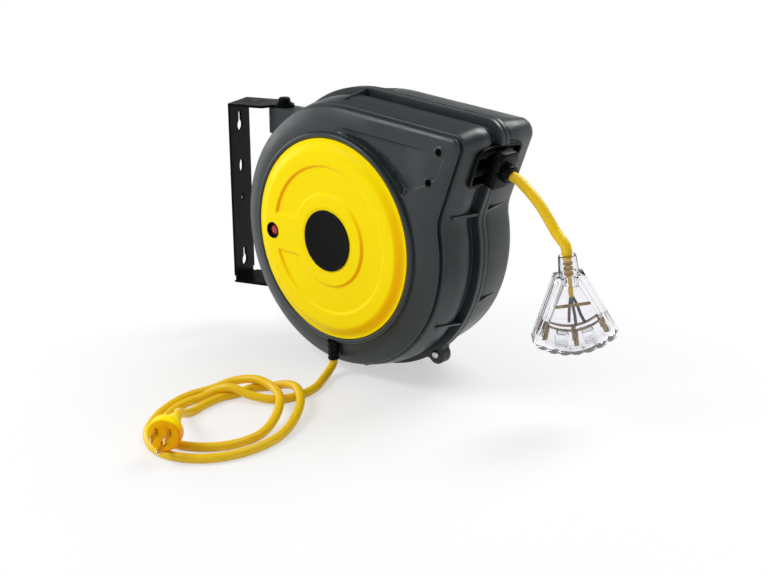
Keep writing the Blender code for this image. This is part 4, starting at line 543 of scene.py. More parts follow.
# ---------------------------------------------------------------- housing
NOSE_CORNER_R = 0.0100
NOSE_BLEND_R = 0.0450
END_DIST = 0.1133
WALL = 0.0030
FRONT_Y = 0.0110
BACK_Y = 0.1250
BACK_FACE_Y = 0.1320
REAR_FACE_INSET = 0.0140
SEAM_BULGE = 0.0070
BACK_BULGE = 0.0040
LIP_HEIGHT = 0.0130
LIP_WIDTH = 0.0060
RING_R = 0.1140
RING_RISE = 0.0010
GROOVE_OFFSET = SEAM_BULGE - 0.0025
GROOVE_FLOOR = GROOVE_OFFSET - 0.0022
LIP_Y = SEAM_Y - LIP_WIDTH
SEAM_GAP = 0.00015
PIVOT_X = -0.1390
EAR_SPANS = {"upper": (0.0850, 0.1150), "lower": (-0.0920, -0.0620)}
EAR_HALF_DEPTH = 0.0140
EAR_OUTER_R = 0.0115
INSERT_R = 0.0071
INSERT_LENGTH = 0.0206
TAB_R = 0.0110
TAB_SCREW_R, TAB_SCREW_ANGLE = 0.1550, math.radians(51.8)
TAB_SCREWS = [(side * TAB_SCREW_R * math.cos(TAB_SCREW_ANGLE), -TAB_SCREW_R * math.sin(TAB_SCREW_ANGLE))
              for side in (1, -1)]
SCREW_R = 0.0021
NOSE_HEAD_R = 0.0035
NOSE_HEAD_Y = FRONT_Y + 0.0070
NOSE_SCREW_INSET = 0.0195
NOSE_SCREWS = [((END_DIST - NOSE_SCREW_INSET) / math.cos(a + END_LEAN) * math.cos(a),
                (END_DIST - NOSE_SCREW_INSET) / math.cos(a + END_LEAN) * math.sin(a))
               for a in (math.radians(38.9), math.radians(32.4))]
PANEL_RIM, PANEL_END = 0.0185, 0.0110
RIB_START, RIB_TOP = (0.0998, 0.0644), (0.1284, 0.0804)
RIB_ANGLE = math.atan2(RIB_TOP[1] - RIB_START[1], RIB_TOP[0] - RIB_START[0])
FRONT_FINS = (91.5, 18.5, -31.0, -80.0, -150.0)
REAR_FINS = (91.5, 18.5, -22.5, -80.0, -150.0)
FIN_LENGTH = 0.0340
FIN_THICK = 0.0030
MOUTH_Z = 0.0980
MOUTH_HALF_WIDTH = 0.0330
MOUTH_HALF_HEIGHT = 0.0190
MOUTH_CORNER_R = 0.0050
GUIDE_DEPTH = 0.0225
MOUTH_ARCH = 0.0035
GUIDE_LIP = 0.0022
GUIDE_LIP_THICK = 0.0025
GAP = 0.0003
RELIEF_X, RELIEF_Y, RELIEF_R = 0.0015, 0.0012, 0.0075
RELIEF_TOP_Z, RELIEF_TIP_Z = -0.1132, -0.1345


def arc_points(cx, cz, radius, start, end, count, endpoint=True):
    """Rows of (x, z, angle) on an arc."""
    a = np.linspace(start, end, count, endpoint=endpoint)
    return np.stack([cx + radius * np.cos(a), cz + radius * np.sin(a), a], axis=1)


def straight_points(start, end, angle, count):
    t = np.linspace(0.0, 1.0, count, endpoint=False)[:, None]
    xz = np.asarray(start)[None] * (1 - t) + np.asarray(end)[None] * t
    return np.column_stack([xz, np.full(count, angle)])


def housing_edge():
    """The snail outline: a round part, a hollow blend, the leaning end face, a corner and the top face.

    Each row is (x, z, nx, nz): a point of the housing's front edge and the unit normal there.
    """
    radius = sizes().body_r
    top, end = math.pi / 2 - TOP_TILT, -END_LEAN
    reach = radius + NOSE_BLEND_R
    blend_angle = end + math.acos((END_DIST + NOSE_BLEND_R) / reach)
    bx, bz = reach * math.cos(blend_angle), reach * math.sin(blend_angle)
    inner_end, inner_top = END_DIST - NOSE_CORNER_R, radius - NOSE_CORNER_R
    det = math.sin(top - end)
    cx = (inner_end * math.sin(top) - inner_top * math.sin(end)) / det
    cz = (inner_top * math.cos(end) - inner_end * math.cos(top)) / det
    low = (bx - NOSE_BLEND_R * math.cos(end), bz - NOSE_BLEND_R * math.sin(end))
    corner_low = (cx + NOSE_CORNER_R * math.cos(end), cz + NOSE_CORNER_R * math.sin(end))
    corner_top = (cx + NOSE_CORNER_R * math.cos(top), cz + NOSE_CORNER_R * math.sin(top))
    round_top = (radius * math.cos(top), radius * math.sin(top))
    blend = arc_points(bx, bz, NOSE_BLEND_R, blend_angle + math.pi, end + math.pi, 26, False)
    blend[:, 2] += math.pi
    parts = [arc_points(0, 0, radius, top, blend_angle + 2 * math.pi, 196, False), blend,
             straight_points(low, corner_low, end, 70), arc_points(cx, cz, NOSE_CORNER_R, end, top, 20, False),
             straight_points(corner_top, round_top, top, 130)]
    rows = np.vstack(parts)
    return np.column_stack([rows[:, :2], np.cos(rows[:, 2]), np.sin(rows[:, 2])])


def outline_ring(edge, offset, y):
    x, z = edge[:, 0] + edge[:, 2] * offset, edge[:, 1] + edge[:, 3] * offset
    return np.stack([x, np.full(len(x), y), z], axis=1)


def outline_rings(edge, *rows):
    """A ring of the outline for each pair of an offset and a level."""
    return [outline_ring(edge, offset, y) for offset, y in rows]


def circle_ring(edge, radius, y):
    a = np.arctan2(edge[:, 1], edge[:, 0])
    return np.stack([radius * np.cos(a), np.full(len(a), y), radius * np.sin(a)], axis=1)


def inset_ring(edge, inset, y):
    scale = 1 - inset / np.hypot(edge[:, 0], edge[:, 1])
    return np.stack([edge[:, 0] * scale, np.full(len(edge), y), edge[:, 1] * scale], axis=1)


def end_face_point(distance, across, up):
    """A point given from the middle of the cord mouth: out of the end face, along Y and up it."""
    rise = (MOUTH_Z - END_NORMAL[2] * END_DIST) / END_UP[2]
    point = END_NORMAL * (END_DIST + distance) + END_UP * (rise + up)
    return np.array([point[0], SEAM_Y + across, point[2]])


def ease(value):
    """Smooth step from 0 to 1: 3t^2 - 2t^3 of the value held between 0 and 1."""
    t = np.clip(value, 0.0, 1.0)
    return t * t * (3 - 2 * t)


def panel_depth(x, z):
    """Depth of the sunk panel on the nose.

    The panel is the region outside the cover's ring, below a line parallel to the top face, above
    the short rib, and inside the end face. Each border has a soft wall, and the depths multiply.
    It is deepest beside the ring and runs out towards the screws.
    """
    rim = (sizes().body_r / math.cos(TOP_TILT) - PANEL_RIM) - x * math.tan(TOP_TILT) - z
    ring = np.hypot(x, z) - (RING_R + 0.0012)
    rib = (z - RIB_START[1]) * math.cos(RIB_ANGLE) - (x - RIB_START[0]) * math.sin(RIB_ANGLE)
    end = END_DIST - PANEL_END - x * math.cos(END_LEAN) + z * math.sin(END_LEAN)
    start = x - 0.004
    run_out = 1.25 - 1.05 * ease((x - 0.092) / 0.036)
    facet = np.clip(rib / (1.28 * sizes().recess_depth * run_out), 0.0, 1.0)
    depth = ease(rim / 0.0014) * ease(end / 0.0030) * ease(ring / 0.0022) * facet * ease(start / 0.030)
    along_ring = ease((math.radians(80.0) - np.arctan2(z, x)) / math.radians(45.0))
    trench = 0.0018 * depth * ease((0.0025 + 0.0060 * along_ring - ring) / 0.0014)
    line = ease(1 - np.abs(rim) / 0.0011) * ease(start / 0.020) * ease((NOSE_SCREWS[0][0] - x) / 0.004)
    sunk = (sizes().recess_depth * depth * run_out + trench + 0.0010 * line) * (x > 0) * (z > 0)
    for x0, z0 in NOSE_SCREWS:
        sunk = sunk - 0.0007 * ease((0.0062 - np.hypot(x - x0, z - z0)) / 0.0016)
    return sunk


def housing_front(edge):
    """Surface of the front shell as a grid: rows from the cover's seat outwards and back inside."""
    seat_r = sizes().cover_r + 0.0006
    bead = bend_corners([circle_ring(edge, radius, y) for radius, y in (
        (seat_r, 0.0053), (seat_r, 0.0004), (seat_r + 0.0016, -RING_RISE), (RING_R - 0.0016, -RING_RISE),
        (RING_R, 0.0004), (RING_R + 0.0006, 0.0040))], 0.0008, 4)
    ring = circle_ring(edge, RING_R + 0.0006, 0.0040)
    rim = outline_ring(edge, -0.0040, FRONT_Y - 0.0014)
    share = np.linspace(0.0, 1.0, 74)[1:, None, None]
    flank = ring[None] * (1 - share) + rim[None] * share
    flank[..., 1] -= 0.0012 * np.sin(math.pi * share[..., 0])
    flank[..., 1] += panel_depth(flank[..., 0], flank[..., 2])
    side = bend_corners([rim, *outline_rings(
        edge, (-0.0004, FRONT_Y + 0.0006), (0.0, FRONT_Y + 0.0030), (-0.0044, FRONT_Y + 0.0038),
        (-0.0044, FRONT_Y + 0.0060), (0.0020, FRONT_Y + 0.0070), (0.0048, FRONT_Y + 0.0190),
        (SEAM_BULGE, (FRONT_Y + LIP_Y) / 2 + 0.004), (SEAM_BULGE - 0.0004, LIP_Y - 0.0080),
        (GROOVE_FLOOR, LIP_Y - 0.0048), (GROOVE_FLOOR, LIP_Y), (LIP_HEIGHT - 0.0006, LIP_Y),
        (LIP_HEIGHT, LIP_Y + 0.0006), (LIP_HEIGHT, SEAM_Y - 0.0012), (LIP_HEIGHT - 0.0009, SEAM_Y - SEAM_GAP),
        (GROOVE_OFFSET - WALL, SEAM_Y - SEAM_GAP), (0.0016, FRONT_Y + 0.0220), (-0.0058, FRONT_Y + 0.0040)),
        circle_ring(edge, RING_R + 0.0020, 0.0120), circle_ring(edge, seat_r, 0.0070),
        circle_ring(edge, seat_r, 0.0053)],
        [0.003, 0.0012, 0.0006, 0.0006, 0.0012, 0.004, 0.012, 0.004, 0.001, 0.0008, 0.0004, 0.0004, 0.0005,
         0.0003, 0.0003, 0.004, 0.002, 0.001, 0.0005], 4, 1)
    return np.concatenate([bead, flank, side[1:]])


def housing_rear(edge):
    """Surface of the rear shell as a grid: rows from the seam over the lip and back to the boss."""
    back_lip = SEAM_Y + LIP_WIDTH
    boss_r, boss_height, bore_r = 0.030, 0.004, 0.0086
    outside = bend_corners([*outline_rings(
        edge, (GROOVE_OFFSET - WALL, SEAM_Y + SEAM_GAP), (LIP_HEIGHT - 0.0009, SEAM_Y + SEAM_GAP),
        (LIP_HEIGHT, SEAM_Y + 0.0012), (LIP_HEIGHT, back_lip - 0.0006), (LIP_HEIGHT - 0.0006, back_lip),
        (GROOVE_FLOOR, back_lip), (GROOVE_FLOOR, back_lip + 0.0048), (SEAM_BULGE - 0.0004, back_lip + 0.0080),
        (SEAM_BULGE, BACK_Y - 0.0250), (BACK_BULGE, BACK_Y)),
        inset_ring(edge, 0.0060, BACK_Y + 0.0055), inset_ring(edge, REAR_FACE_INSET, BACK_FACE_Y)],
        [0.0003, 0.0005, 0.0004, 0.0004, 0.0008, 0.001, 0.004, 0.012, 0.006, 0.004], 4, 1)
    rim = inset_ring(edge, REAR_FACE_INSET, BACK_FACE_Y)
    boss = circle_ring(edge, boss_r + 0.003, BACK_FACE_Y)
    share = np.linspace(0.0, 1.0, 40)[1:, None, None]
    face = rim[None] * (1 - share) + boss[None] * share
    inner = bend_corners([
        boss, circle_ring(edge, boss_r, BACK_FACE_Y + boss_height),
        circle_ring(edge, bore_r, BACK_FACE_Y + boss_height), circle_ring(edge, bore_r, BACK_FACE_Y - WALL),
        inset_ring(edge, 0.0170, BACK_FACE_Y - WALL), *outline_rings(
            edge, (0.0, BACK_Y - 0.0010), (SEAM_BULGE - WALL, BACK_Y - 0.0250),
            (GROOVE_OFFSET - WALL, SEAM_Y + SEAM_GAP))],
        [0.001, 0.0005, 0.0005, 0.001, 0.004, 0.004], 3)
    return np.concatenate([outside, face, inner[1:]])


def rounded_outline(half_width, half_height, radius, steps=8, spans=0):
    """Rectangle with round corners, as (x, z) points."""
    sides = ((1, 1, 0), (-1, 1, 1), (-1, -1, 2), (1, -1, 3))
    corners = [arc_points(sx * (half_width - radius), sz * (half_height - radius), radius, quarter * math.pi / 2,
                   (quarter + 1) * math.pi / 2, steps + 1, False)[:, :2] for sx, sz, quarter in sides]
    outline = np.concatenate(corners)
    if spans:
        share = np.linspace(0.0, 1.0, spans, endpoint=False)[:, None]
        after = np.roll(outline, -1, axis=0)
        outline = np.concatenate([a * (1 - share) + b * share for a, b in zip(outline, after)])
    return outline


def arched(across, up):
    """The mouth's top rises in an arch: up grows by ARCH (1 - (across / half width)^2) above the middle."""
    return up + MOUTH_ARCH * np.clip(1 - (across / MOUTH_HALF_WIDTH) ** 2, 0.0, 1.0) * ease(up / 0.014)


def ear_prism(bottom, top, side):
    """Ear for the bracket's pivot, from the seam towards one side."""
    root_r = sizes().body_r + SEAM_BULGE - WALL
    low, high = math.pi - math.asin(bottom / root_r), math.pi - math.asin(top / root_r)
    soft = 0.0022
    corner = PIVOT_X - EAR_OUTER_R + soft
    outline = np.vstack([arc_points(0, 0, root_r, high, low, 12),
                         arc_points(corner, bottom + soft, soft, -math.pi / 2, -math.pi, 5),
                         arc_points(corner, top - soft, soft, math.pi, math.pi / 2, 5)])[:, :2]
    ends = sorted((SEAM_Y + side * SEAM_GAP, SEAM_Y + side * EAR_HALF_DEPTH))
    return prism(outline, *ends, 0.0009)


def tab_prism(x, z, side):
    """Round tab under the seam lip, with straight flanks, for a bottom screw."""
    angle = math.atan2(z, x)
    root_r = sizes().body_r + SEAM_BULGE - WALL / 2
    spread = 2.2 * TAB_R / root_r
    outline = np.vstack([arc_points(0, 0, root_r, angle + spread, angle - spread, 8),
                         arc_points(x, z, TAB_R, angle - math.pi / 2, angle + math.pi / 2, 24)])[:, :2]
    return prism(outline, *sorted((SEAM_Y + side * SEAM_GAP, SEAM_Y + side * LIP_WIDTH)), 0.0006)


def fin_solid(edge, angle, side):
    """Gusset between the seam lip and the side band."""
    turn = np.angle(np.exp(1j * (np.arctan2(edge[:, 1], edge[:, 0]) - math.radians(angle))))
    x, z, nx, nz = edge[np.argmin(np.abs(turn))]
    lip, root, crest = SEAM_Y + side * LIP_WIDTH, GROOVE_FLOOR - 0.0003, LIP_HEIGHT - 0.0015
    outline = np.array([(root, lip - side * 0.001), (crest, lip - side * 0.001), (crest, lip + side * 0.003),
                        (SEAM_BULGE + 0.0012, lip + side * FIN_LENGTH * 0.6),
                        (SEAM_BULGE - 0.0006, lip + side * FIN_LENGTH), (root, lip + side * FIN_LENGTH)])
    offset, y = outline[:, 0], outline[:, 1]
    return capped(np.stack([np.stack([x + nx * offset - nz * across, y, z + nz * offset + nx * across], axis=1)
                            for across in (-FIN_THICK / 2, FIN_THICK / 2)]))


def post(profile, cols, x, z):
    """Turned solid on an axis parallel to Y through (x, z)."""
    return solid(turned_points(profile, cols) + (x, 0.0, z))


def mouth_ring(grow, level, steps, spans):
    """Outline of the arched mouth, grown on all sides, at a level of Y."""
    ring = rounded_outline(MOUTH_HALF_WIDTH + grow, MOUTH_HALF_HEIGHT + grow, MOUTH_CORNER_R + grow, steps, spans)
    ring = np.column_stack([ring[:, 0], arched(ring[:, 0], ring[:, 1])])
    return np.insert(ring, 1, level, axis=1)


def mouth_tool():
    """Stepped block that cuts the cord's mouth and the seat of the guide's lip."""
    seat = GUIDE_LIP + 0.0003
    rows = [mouth_ring(grow, level, 4, 10) for grow, level in (
        (0.0, SEAM_BULGE - GUIDE_DEPTH), (0.0, SEAM_BULGE), (seat, SEAM_BULGE), (seat, SEAM_BULGE + GUIDE_DEPTH))]
    return solid(np.stack([rows[0] * (0, 1, 0), *rows, rows[-1] * (0, 1, 0)]))


OUTWARD = np.array([[0.0, math.cos(END_LEAN), math.sin(END_LEAN)],
                    [-1.0, 0.0, 0.0],
                    [0.0, -math.sin(END_LEAN), math.cos(END_LEAN)]])
UPRIGHT = np.array([[1.0, 0.0, 0.0], [0.0, 0.0, -1.0], [0.0, 1.0, 0.0]])


def shell_tools(edge, side):
    """What is added to a shell, and what is cut out of it. side is -1 in front of the seam."""
    adds = [ear_prism(bottom, top, side) for bottom, top in EAR_SPANS.values()]
    adds += [tab_prism(x, z, side) for x, z in TAB_SCREWS]
    fins = [fin_solid(edge, angle, side) for angle in (FRONT_FINS if side < 0 else REAR_FINS)]
    cuts = [post([(0, LIP_Y - 0.002), (SCREW_R, LIP_Y - 0.002), (SCREW_R, SEAM_Y + 0.01), (0, SEAM_Y + 0.01)],
                 24, x, z) for x, z in TAB_SCREWS]
    for place, (bottom, top) in EAR_SPANS.items():
        ends = (top + 0.001, top - INSERT_LENGTH) if place == "upper" else (bottom - 0.001, bottom + INSERT_LENGTH)
        low, high = sorted(ends)
        bore = solid(turned_points([(0, low), (INSERT_R, low), (INSERT_R, high), (0, high)], 48))
        cuts.append(joined([bore], UPRIGHT, (PIVOT_X, SEAM_Y, 0)))
    cuts.append(joined([mouth_tool()], OUTWARD, end_face_point(0, 0, 0)))
    if side < 0:
        for x, z in NOSE_SCREWS:
            r = NOSE_HEAD_R
            cuts.append(post([(0, 0.002), (r + 0.0004, 0.002), (r + 0.0004, FRONT_Y - 0.0004), (r, FRONT_Y + 0.0006),
                              (r, NOSE_HEAD_Y + 0.003), (0, NOSE_HEAD_Y + 0.003)], 40, x, z))
        low, high = RELIEF_TIP_Z, RELIEF_TOP_Z
        pocket = solid(turned_points([(0, low), (RELIEF_R, low), (RELIEF_R, high), (0, high)], 48))
        cuts.append(joined([pocket], UPRIGHT, (RELIEF_X, RELIEF_Y, 0)))
    return [("UNION", *joined(adds, origin=REEL)), ("UNION", *joined(fins, origin=REEL)),
            ("DIFFERENCE", *joined(cuts, origin=REEL))]


class ReelHousingFront(bpy.types.Operator):
    """Front shell of the housing, with its bead, sunk panel, side band, lip, ears, fins and mouth"""
    bl_idname = "reel.housing_front"
    bl_label = "Front shell"

    def execute(self, context):
        edge = housing_edge()
        piece = grid_piece("front_shell_skin", housing_front(edge) + REEL, "slate_plastic", "housing",
                           ("front_shell",))
        carve(piece, shell_tools(edge, -1))
        return {"FINISHED"}


class ReelHousingRear(bpy.types.Operator):
    """Rear shell of the housing, with its lip, ears, fins, rear face and axle boss"""
    bl_idname = "reel.housing_rear"
    bl_label = "Rear shell"

    def execute(self, context):
        edge = housing_edge()
        piece = grid_piece("rear_shell_skin", housing_rear(edge) + REEL, "slate_plastic", "housing",
                           ("rear_shell",))
        carve(piece, shell_tools(edge, 1))
        return {"FINISHED"}


# ---------------------------------------------------------------- cover, label and button
BUTTON_X, BUTTON_Z = -0.0840, -0.0045
BUTTON_COLLAR_R = 0.0088
CHANNEL_HALF_GAP, CHANNEL_WALL = 0.0185, 0.0036
PLATEAU_SHARE = 0.872
LABEL_R = 0.0330


def cover_height(r, a):
    """Height of the cover's face ahead of its rim at radius r and angle a.

    A flat plateau falls over a curved slope to the rim. A C-shaped channel is sunk between two radii,
    and a level gap is left beside the reset button. All walls are smooth steps.
    """
    size = sizes()
    slope = ease((size.cover_r - 0.0008 - r) / (size.cover_r - size.cover_r * PLATEAU_SHARE))
    x, z = r * np.cos(a), r * np.sin(a)
    beside = ease((np.abs(z - BUTTON_Z) - CHANNEL_HALF_GAP) / CHANNEL_WALL)
    channel = (ease((size.channel_outer_r - r) / CHANNEL_WALL)
               * ease((r - size.channel_inner_r) / CHANNEL_WALL) * np.where(x < 0, beside, 1.0))
    seat = ease((LABEL_R + 0.0030 - r) / 0.0012) * 0.0004
    return size.cover_rise * slope - size.channel_depth * channel - seat


class ReelCover(bpy.types.Operator):
    """Yellow round cover with its plateau, sloped rim, sunk channel and button hole"""
    bl_idname = "reel.cover"
    bl_label = "Front cover"

    def execute(self, context):
        size = sizes()
        a = np.linspace(-math.pi, math.pi, 480, endpoint=False)
        r = np.concatenate([[0.0], np.linspace(0.012, LABEL_R, 8),
                            np.linspace(LABEL_R + 0.0008, size.cover_r, 92)])
        rr, aa = np.meshgrid(r, a, indexing="ij")
        face = np.stack([rr * np.cos(aa), -cover_height(rr, aa), rr * np.sin(aa)], axis=-1)
        edge_profile = bend_corners([(size.cover_r, 0.0), (size.cover_r + 0.0001, 0.0008), (size.cover_r, 0.0050),
                                     (size.cover_r - 0.0030, 0.0050), (size.cover_r - 0.0030, 0.0032),
                                     (0.0800, -0.0016), (0.0, -0.0016)], 0.0004, 3)
        edge = np.roll(turned_points(edge_profile, len(a)), len(a) // 2, axis=1)
        points = np.concatenate([face, edge[1:]]) + REEL
        piece = grid_piece("front_cover_skin", points, "yellow_plastic", "housing", ("front_cover",))
        hole = post([(0, -0.010), (BUTTON_COLLAR_R + GAP, -0.010), (BUTTON_COLLAR_R + GAP, 0.006), (0, 0.006)],
                    64, BUTTON_X, BUTTON_Z)
        carve(piece, [("DIFFERENCE", *joined([hole], origin=REEL))])
        return {"FINISHED"}


class ReelLabel(bpy.types.Operator):
    """Black round label disc, bare apart from a thin raised border"""
    bl_idname = "reel.label"
    bl_label = "Label disc"

    def execute(self, context):
        face = -sizes().cover_rise
        profile = [(0, face - 0.0010), (LABEL_R - 0.0022, face - 0.0010), (LABEL_R - 0.0019, face - 0.0013),
                   (LABEL_R - 0.0006, face - 0.0013), (LABEL_R, face - 0.0008), (LABEL_R, face + 0.0002),
                   (0, face + 0.0002)]
        turned_piece("cover_label_disc", profile, 128, "label_print", "housing", ("cover_label",),
                     fillet=0.0002)
        return {"FINISHED"}


class ReelButton(bpy.types.Operator):
    """Domed red reset button inside the breaker's black collar"""
    bl_idname = "reel.button"
    bl_label = "Reset button"

    def execute(self, context):
        low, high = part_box("reset_button")
        radius = (high.x - low.x) / 2
        axis = ((low.x + high.x) / 2, 0.0, (low.z + high.z) / 2)
        share = np.linspace(0.0, 1.0, 10)
        dome = np.stack([radius * np.sin(share * math.pi / 2),
                         low.y + 0.0016 * (1 - np.cos(share * math.pi / 2))], axis=1)
        profile = np.vstack([dome, [(radius, high.y), (0.0, high.y)]])
        turned_piece("reset_button_cap", profile, 64, "red_button", "reset_button", ("reset_button",),
                     origin=axis, fillet=0.0002)
        dress("breaker_body", "black_plastic", 0.0003)
        return {"FINISHED"}


# ---------------------------------------------------------------- bracket and fasteners
class ReelBracket(bpy.types.Operator):
    """Painted steel wall bracket with keyholes and rounded edges"""
    bl_idname = "reel.bracket"
    bl_label = "Wall bracket"

    def execute(self, context):
        dress("wall_bracket", "bracket_paint", 0.0005)
        return {"FINISHED"}


class ReelFasteners(bpy.types.Operator):
    """Pivot bolts, washers, inserts and housing screws"""
    bl_idname = "reel.fasteners"
    bl_label = "Fasteners"

    def execute(self, context):
        for node in ("pivot_washer_upper", "pivot_washer_lower", "pivot_bolt_upper", "pivot_bolt_lower",
                     "nose_screw_upper", "nose_screw_lower"):
            dress(node, "bracket_paint", 0.0003)
        for node in ("pivot_insert_upper", "pivot_insert_lower"):
            dress(node, "contact_brass", 0.0002)
        for node in ("tab_screw_left", "tab_screw_right"):
            dress(node, "bright_zinc", 0.0003)
        return {"FINISHED"}


# ---------------------------------------------------------------- outlet
STOPPER_START = SEAM_BULGE + 2 * GAP + GUIDE_LIP_THICK
STOPPER_END = STOPPER_START + 0.0205
STOPPER_HALF_WIDTH, STOPPER_HALF_HEIGHT, STOPPER_CORNER = 0.0150, 0.0205, 0.0085
STOPPER_PLATE, COLLAR_R = 0.0125, 0.0098
GUIDE_WALL = 0.0020


class ReelGuide(bpy.types.Operator):
    """Black cord guide, its four rollers and the cord stopper"""
    bl_idname = "reel.guide"
    bl_label = "Cord guide"

    def execute(self, context):
        self.make_frame()
        for place in ("upper", "lower", "front", "rear"):
            dress(f"guide_roller_{place}", "roller_plastic")
        for place, side in (("upper", 1), ("lower", -1)):
            self.make_stopper(place, side)
        # A black sleeve round the cord inside the guide stands in for the shade in the mouth: it hides the yellow
        # cord there.
        r = sizes().cord_d / 2 + 0.0001
        end = STOPPER_START - GAP
        sleeve = [(r, -0.0150), (r + 0.0005, -0.0146), (r + 0.0005, end), (r, end), (r, -0.0150)]
        turned_piece("cord_sleeve", sleeve, 40, "black_plastic", "housing", turn=OUTWARD,
                     origin=REEL + end_face_point(0, 0, 0), fillet=0)
        return {"FINISHED"}

    def make_frame(self):
        """Frame of the mouth: an arched tube with a lip, open right through."""
        wall, inner, outer = GUIDE_WALL, SEAM_BULGE - GUIDE_DEPTH + 0.0010, SEAM_BULGE + GUIDE_LIP_THICK
        rows = [mouth_ring(grow, level, 6, 8) for grow, level in (
            (-wall, inner), (-0.0006, inner), (-0.0006, SEAM_BULGE), (GUIDE_LIP, SEAM_BULGE),
            (GUIDE_LIP, outer), (-wall, outer), (-wall, inner))]
        rows = bend_corners(np.stack(rows), [0.0004, 0.0003, 0.0003, 0.0010, 0.0009], 4)
        points = rows @ OUTWARD.T + end_face_point(0, 0, 0) + REEL
        grid_piece("cord_guide_frame", points, "black_plastic", "housing", ("cord_guide",),
                   close_rows=True)

    def make_stopper(self, place, side):
        """Half of the cord stopper: a round-cornered block with half a bore and half a collar."""
        outline = rounded_outline(STOPPER_HALF_WIDTH, STOPPER_HALF_HEIGHT, STOPPER_CORNER, 10)
        outline = np.vstack([(side * STOPPER_HALF_WIDTH, side * GAP), outline[outline[:, 1] * side > GAP],
                             (-side * STOPPER_HALF_WIDTH, side * GAP)])
        block = prism(outline, STOPPER_START, STOPPER_START + STOPPER_PLATE, 0.0022)
        turn, origin = OUTWARD, end_face_point(0, 0, 0) + REEL
        points, faces = joined([block], turn, origin)
        piece = new_piece(f"cord_stopper_{place}_block", points, faces, "black_plastic", "housing",
                          (f"cord_stopper_{place}",))
        r, low = COLLAR_R, STOPPER_START + STOPPER_PLATE - 0.002
        collar = post(bend_corners([(0, low), (r, low), (r, STOPPER_END - 0.0015), (r - 0.0012, STOPPER_END),
                                    (0, STOPPER_END)], 0.0006, 4), 40, 0, 0)
        other_half = rounded_outline(0.04, 0.02, 0.002, 3) - (0, side * (0.02 - GAP))
        rings = [np.insert(other_half, 1, y, axis=1) for y in (-0.02, 0.06)]
        ends = [np.broadcast_to((0.0, y, -side * 0.02), rings[0].shape) for y in (-0.02, 0.06)]
        away = solid(np.stack([ends[0], *rings, ends[1]]))
        bore = sizes().cord_d / 2 + 0.0001
        core = post([(0, -0.01), (bore, -0.01), (bore, 0.06), (0, 0.06)], 40, 0, 0)
        carve(piece, [("UNION", *joined([collar], turn, origin)), ("DIFFERENCE", *joined([away], turn, origin)),
                      ("DIFFERENCE", *joined([core], turn, origin))])


# ---------------------------------------------------------------- cords
TAP_NECK = np.array([0.2531, SEAM_Y, 0.0213])
TAP_TILT = math.radians(8.0)
TAP_AZIMUTH = math.radians(43.0)
TAP_ACROSS = np.array([math.cos(TAP_AZIMUTH) * math.cos(TAP_TILT), math.sin(TAP_AZIMUTH) * math.cos(TAP_TILT),
                       math.sin(TAP_TILT)])
TAP_THROUGH = np.array([-math.sin(TAP_AZIMUTH), math.cos(TAP_AZIMUTH), 0.0])
TAP_UP = np.cross(TAP_ACROSS, TAP_THROUGH)

RELIEF_EXIT = np.array([RELIEF_X, RELIEF_Y, RELIEF_TIP_Z])
LAID = -FLOOR_DROP + 0.0092 / 2 + GAP
OVER = LAID + 0.0092 + 2 * GAP
PLUG_REAR = np.array([0.0120, -0.2240, -FLOOR_DROP + 0.0262])
PLUG_TURN = math.radians(-55.0)
PLUG_WAY = np.array([math.cos(PLUG_TURN), math.sin(PLUG_TURN), 0.0])

OUTPUT_ROUTE = [(0.1993, 0.0680, 0.0805), (0.2106, 0.0680, 0.0720), (0.2212, 0.0680, 0.0625),
                (0.2318, 0.0680, 0.0502), (0.2399, 0.0680, 0.0404)]

LEAD_ROUTE = [
    (RELIEF_X, RELIEF_Y, RELIEF_TIP_Z - 0.0040), (0.0040, -0.0080, -0.1450), (0.0120, -0.0250, LAID + 0.0010),
    (0.0220, -0.0480, LAID), (0.0240, -0.0720, LAID), (0.0150, -0.0950, LAID),
    (-0.0060, -0.1120, LAID + 0.0040), (-0.0260, -0.1210, OVER), (-0.0400, -0.1300, LAID + 0.0060),
    (-0.0470, -0.1440, LAID), (-0.0480, -0.1620, LAID), (-0.0430, -0.1830, LAID),
    (-0.0330, -0.2030, LAID), (-0.0180, -0.2210, LAID), (0.0010, -0.2320, LAID),
    (0.0220, -0.2310, LAID), (0.0400, -0.2220, LAID), (0.0550, -0.2070, LAID),
    (0.0640, -0.1860, LAID), (0.0640, -0.1620, LAID), (0.0550, -0.1360, LAID + 0.0040),
    (0.0400, -0.1140, OVER), (0.0200, -0.0980, OVER), (-0.0030, -0.0890, OVER),
    (-0.0260, -0.0900, OVER), (-0.0450, -0.1020, LAID + 0.0060), (-0.0560, -0.1220, LAID),
    (-0.0600, -0.1500, LAID), (-0.0550, -0.1780, LAID), (-0.0440, -0.2030, LAID),
    (-0.0270, -0.2270, LAID), (-0.0050, -0.2440, LAID), (0.0210, -0.2520, LAID),
    (0.0450, -0.2470, LAID), (0.0660, -0.2310, LAID), (0.0790, -0.2080, LAID),
    (0.0840, -0.1800, LAID), (0.0800, -0.1500, LAID), (0.0680, -0.1220, LAID + 0.0020),
    (0.0480, -0.0930, LAID + 0.0070), (0.0250, -0.0760, OVER), (0.0030, -0.0700, LAID + 0.0060),
    (-0.0160, -0.0770, LAID), (-0.0270, -0.0930, LAID), (-0.0270, -0.1120, LAID),
    (-0.0320, -0.1290, LAID), (-0.0310, -0.1500, LAID), (-0.0260, -0.1740, LAID),
    (-0.0180, -0.1930, LAID + 0.0070), (-0.0080, -0.2040, LAID + 0.0150),
]


def cord_piece(name, route, diameter, replaced):
    """A cord along its route, with its real length taken from the route itself."""
    path, length = along(np.asarray(route) + REEL, 0.004)
    points = tube_points(path, diameter / 2, 20)
    piece = grid_piece(name, points, "cord_jacket", "housing", replaced, smooth=60.0)
    return piece


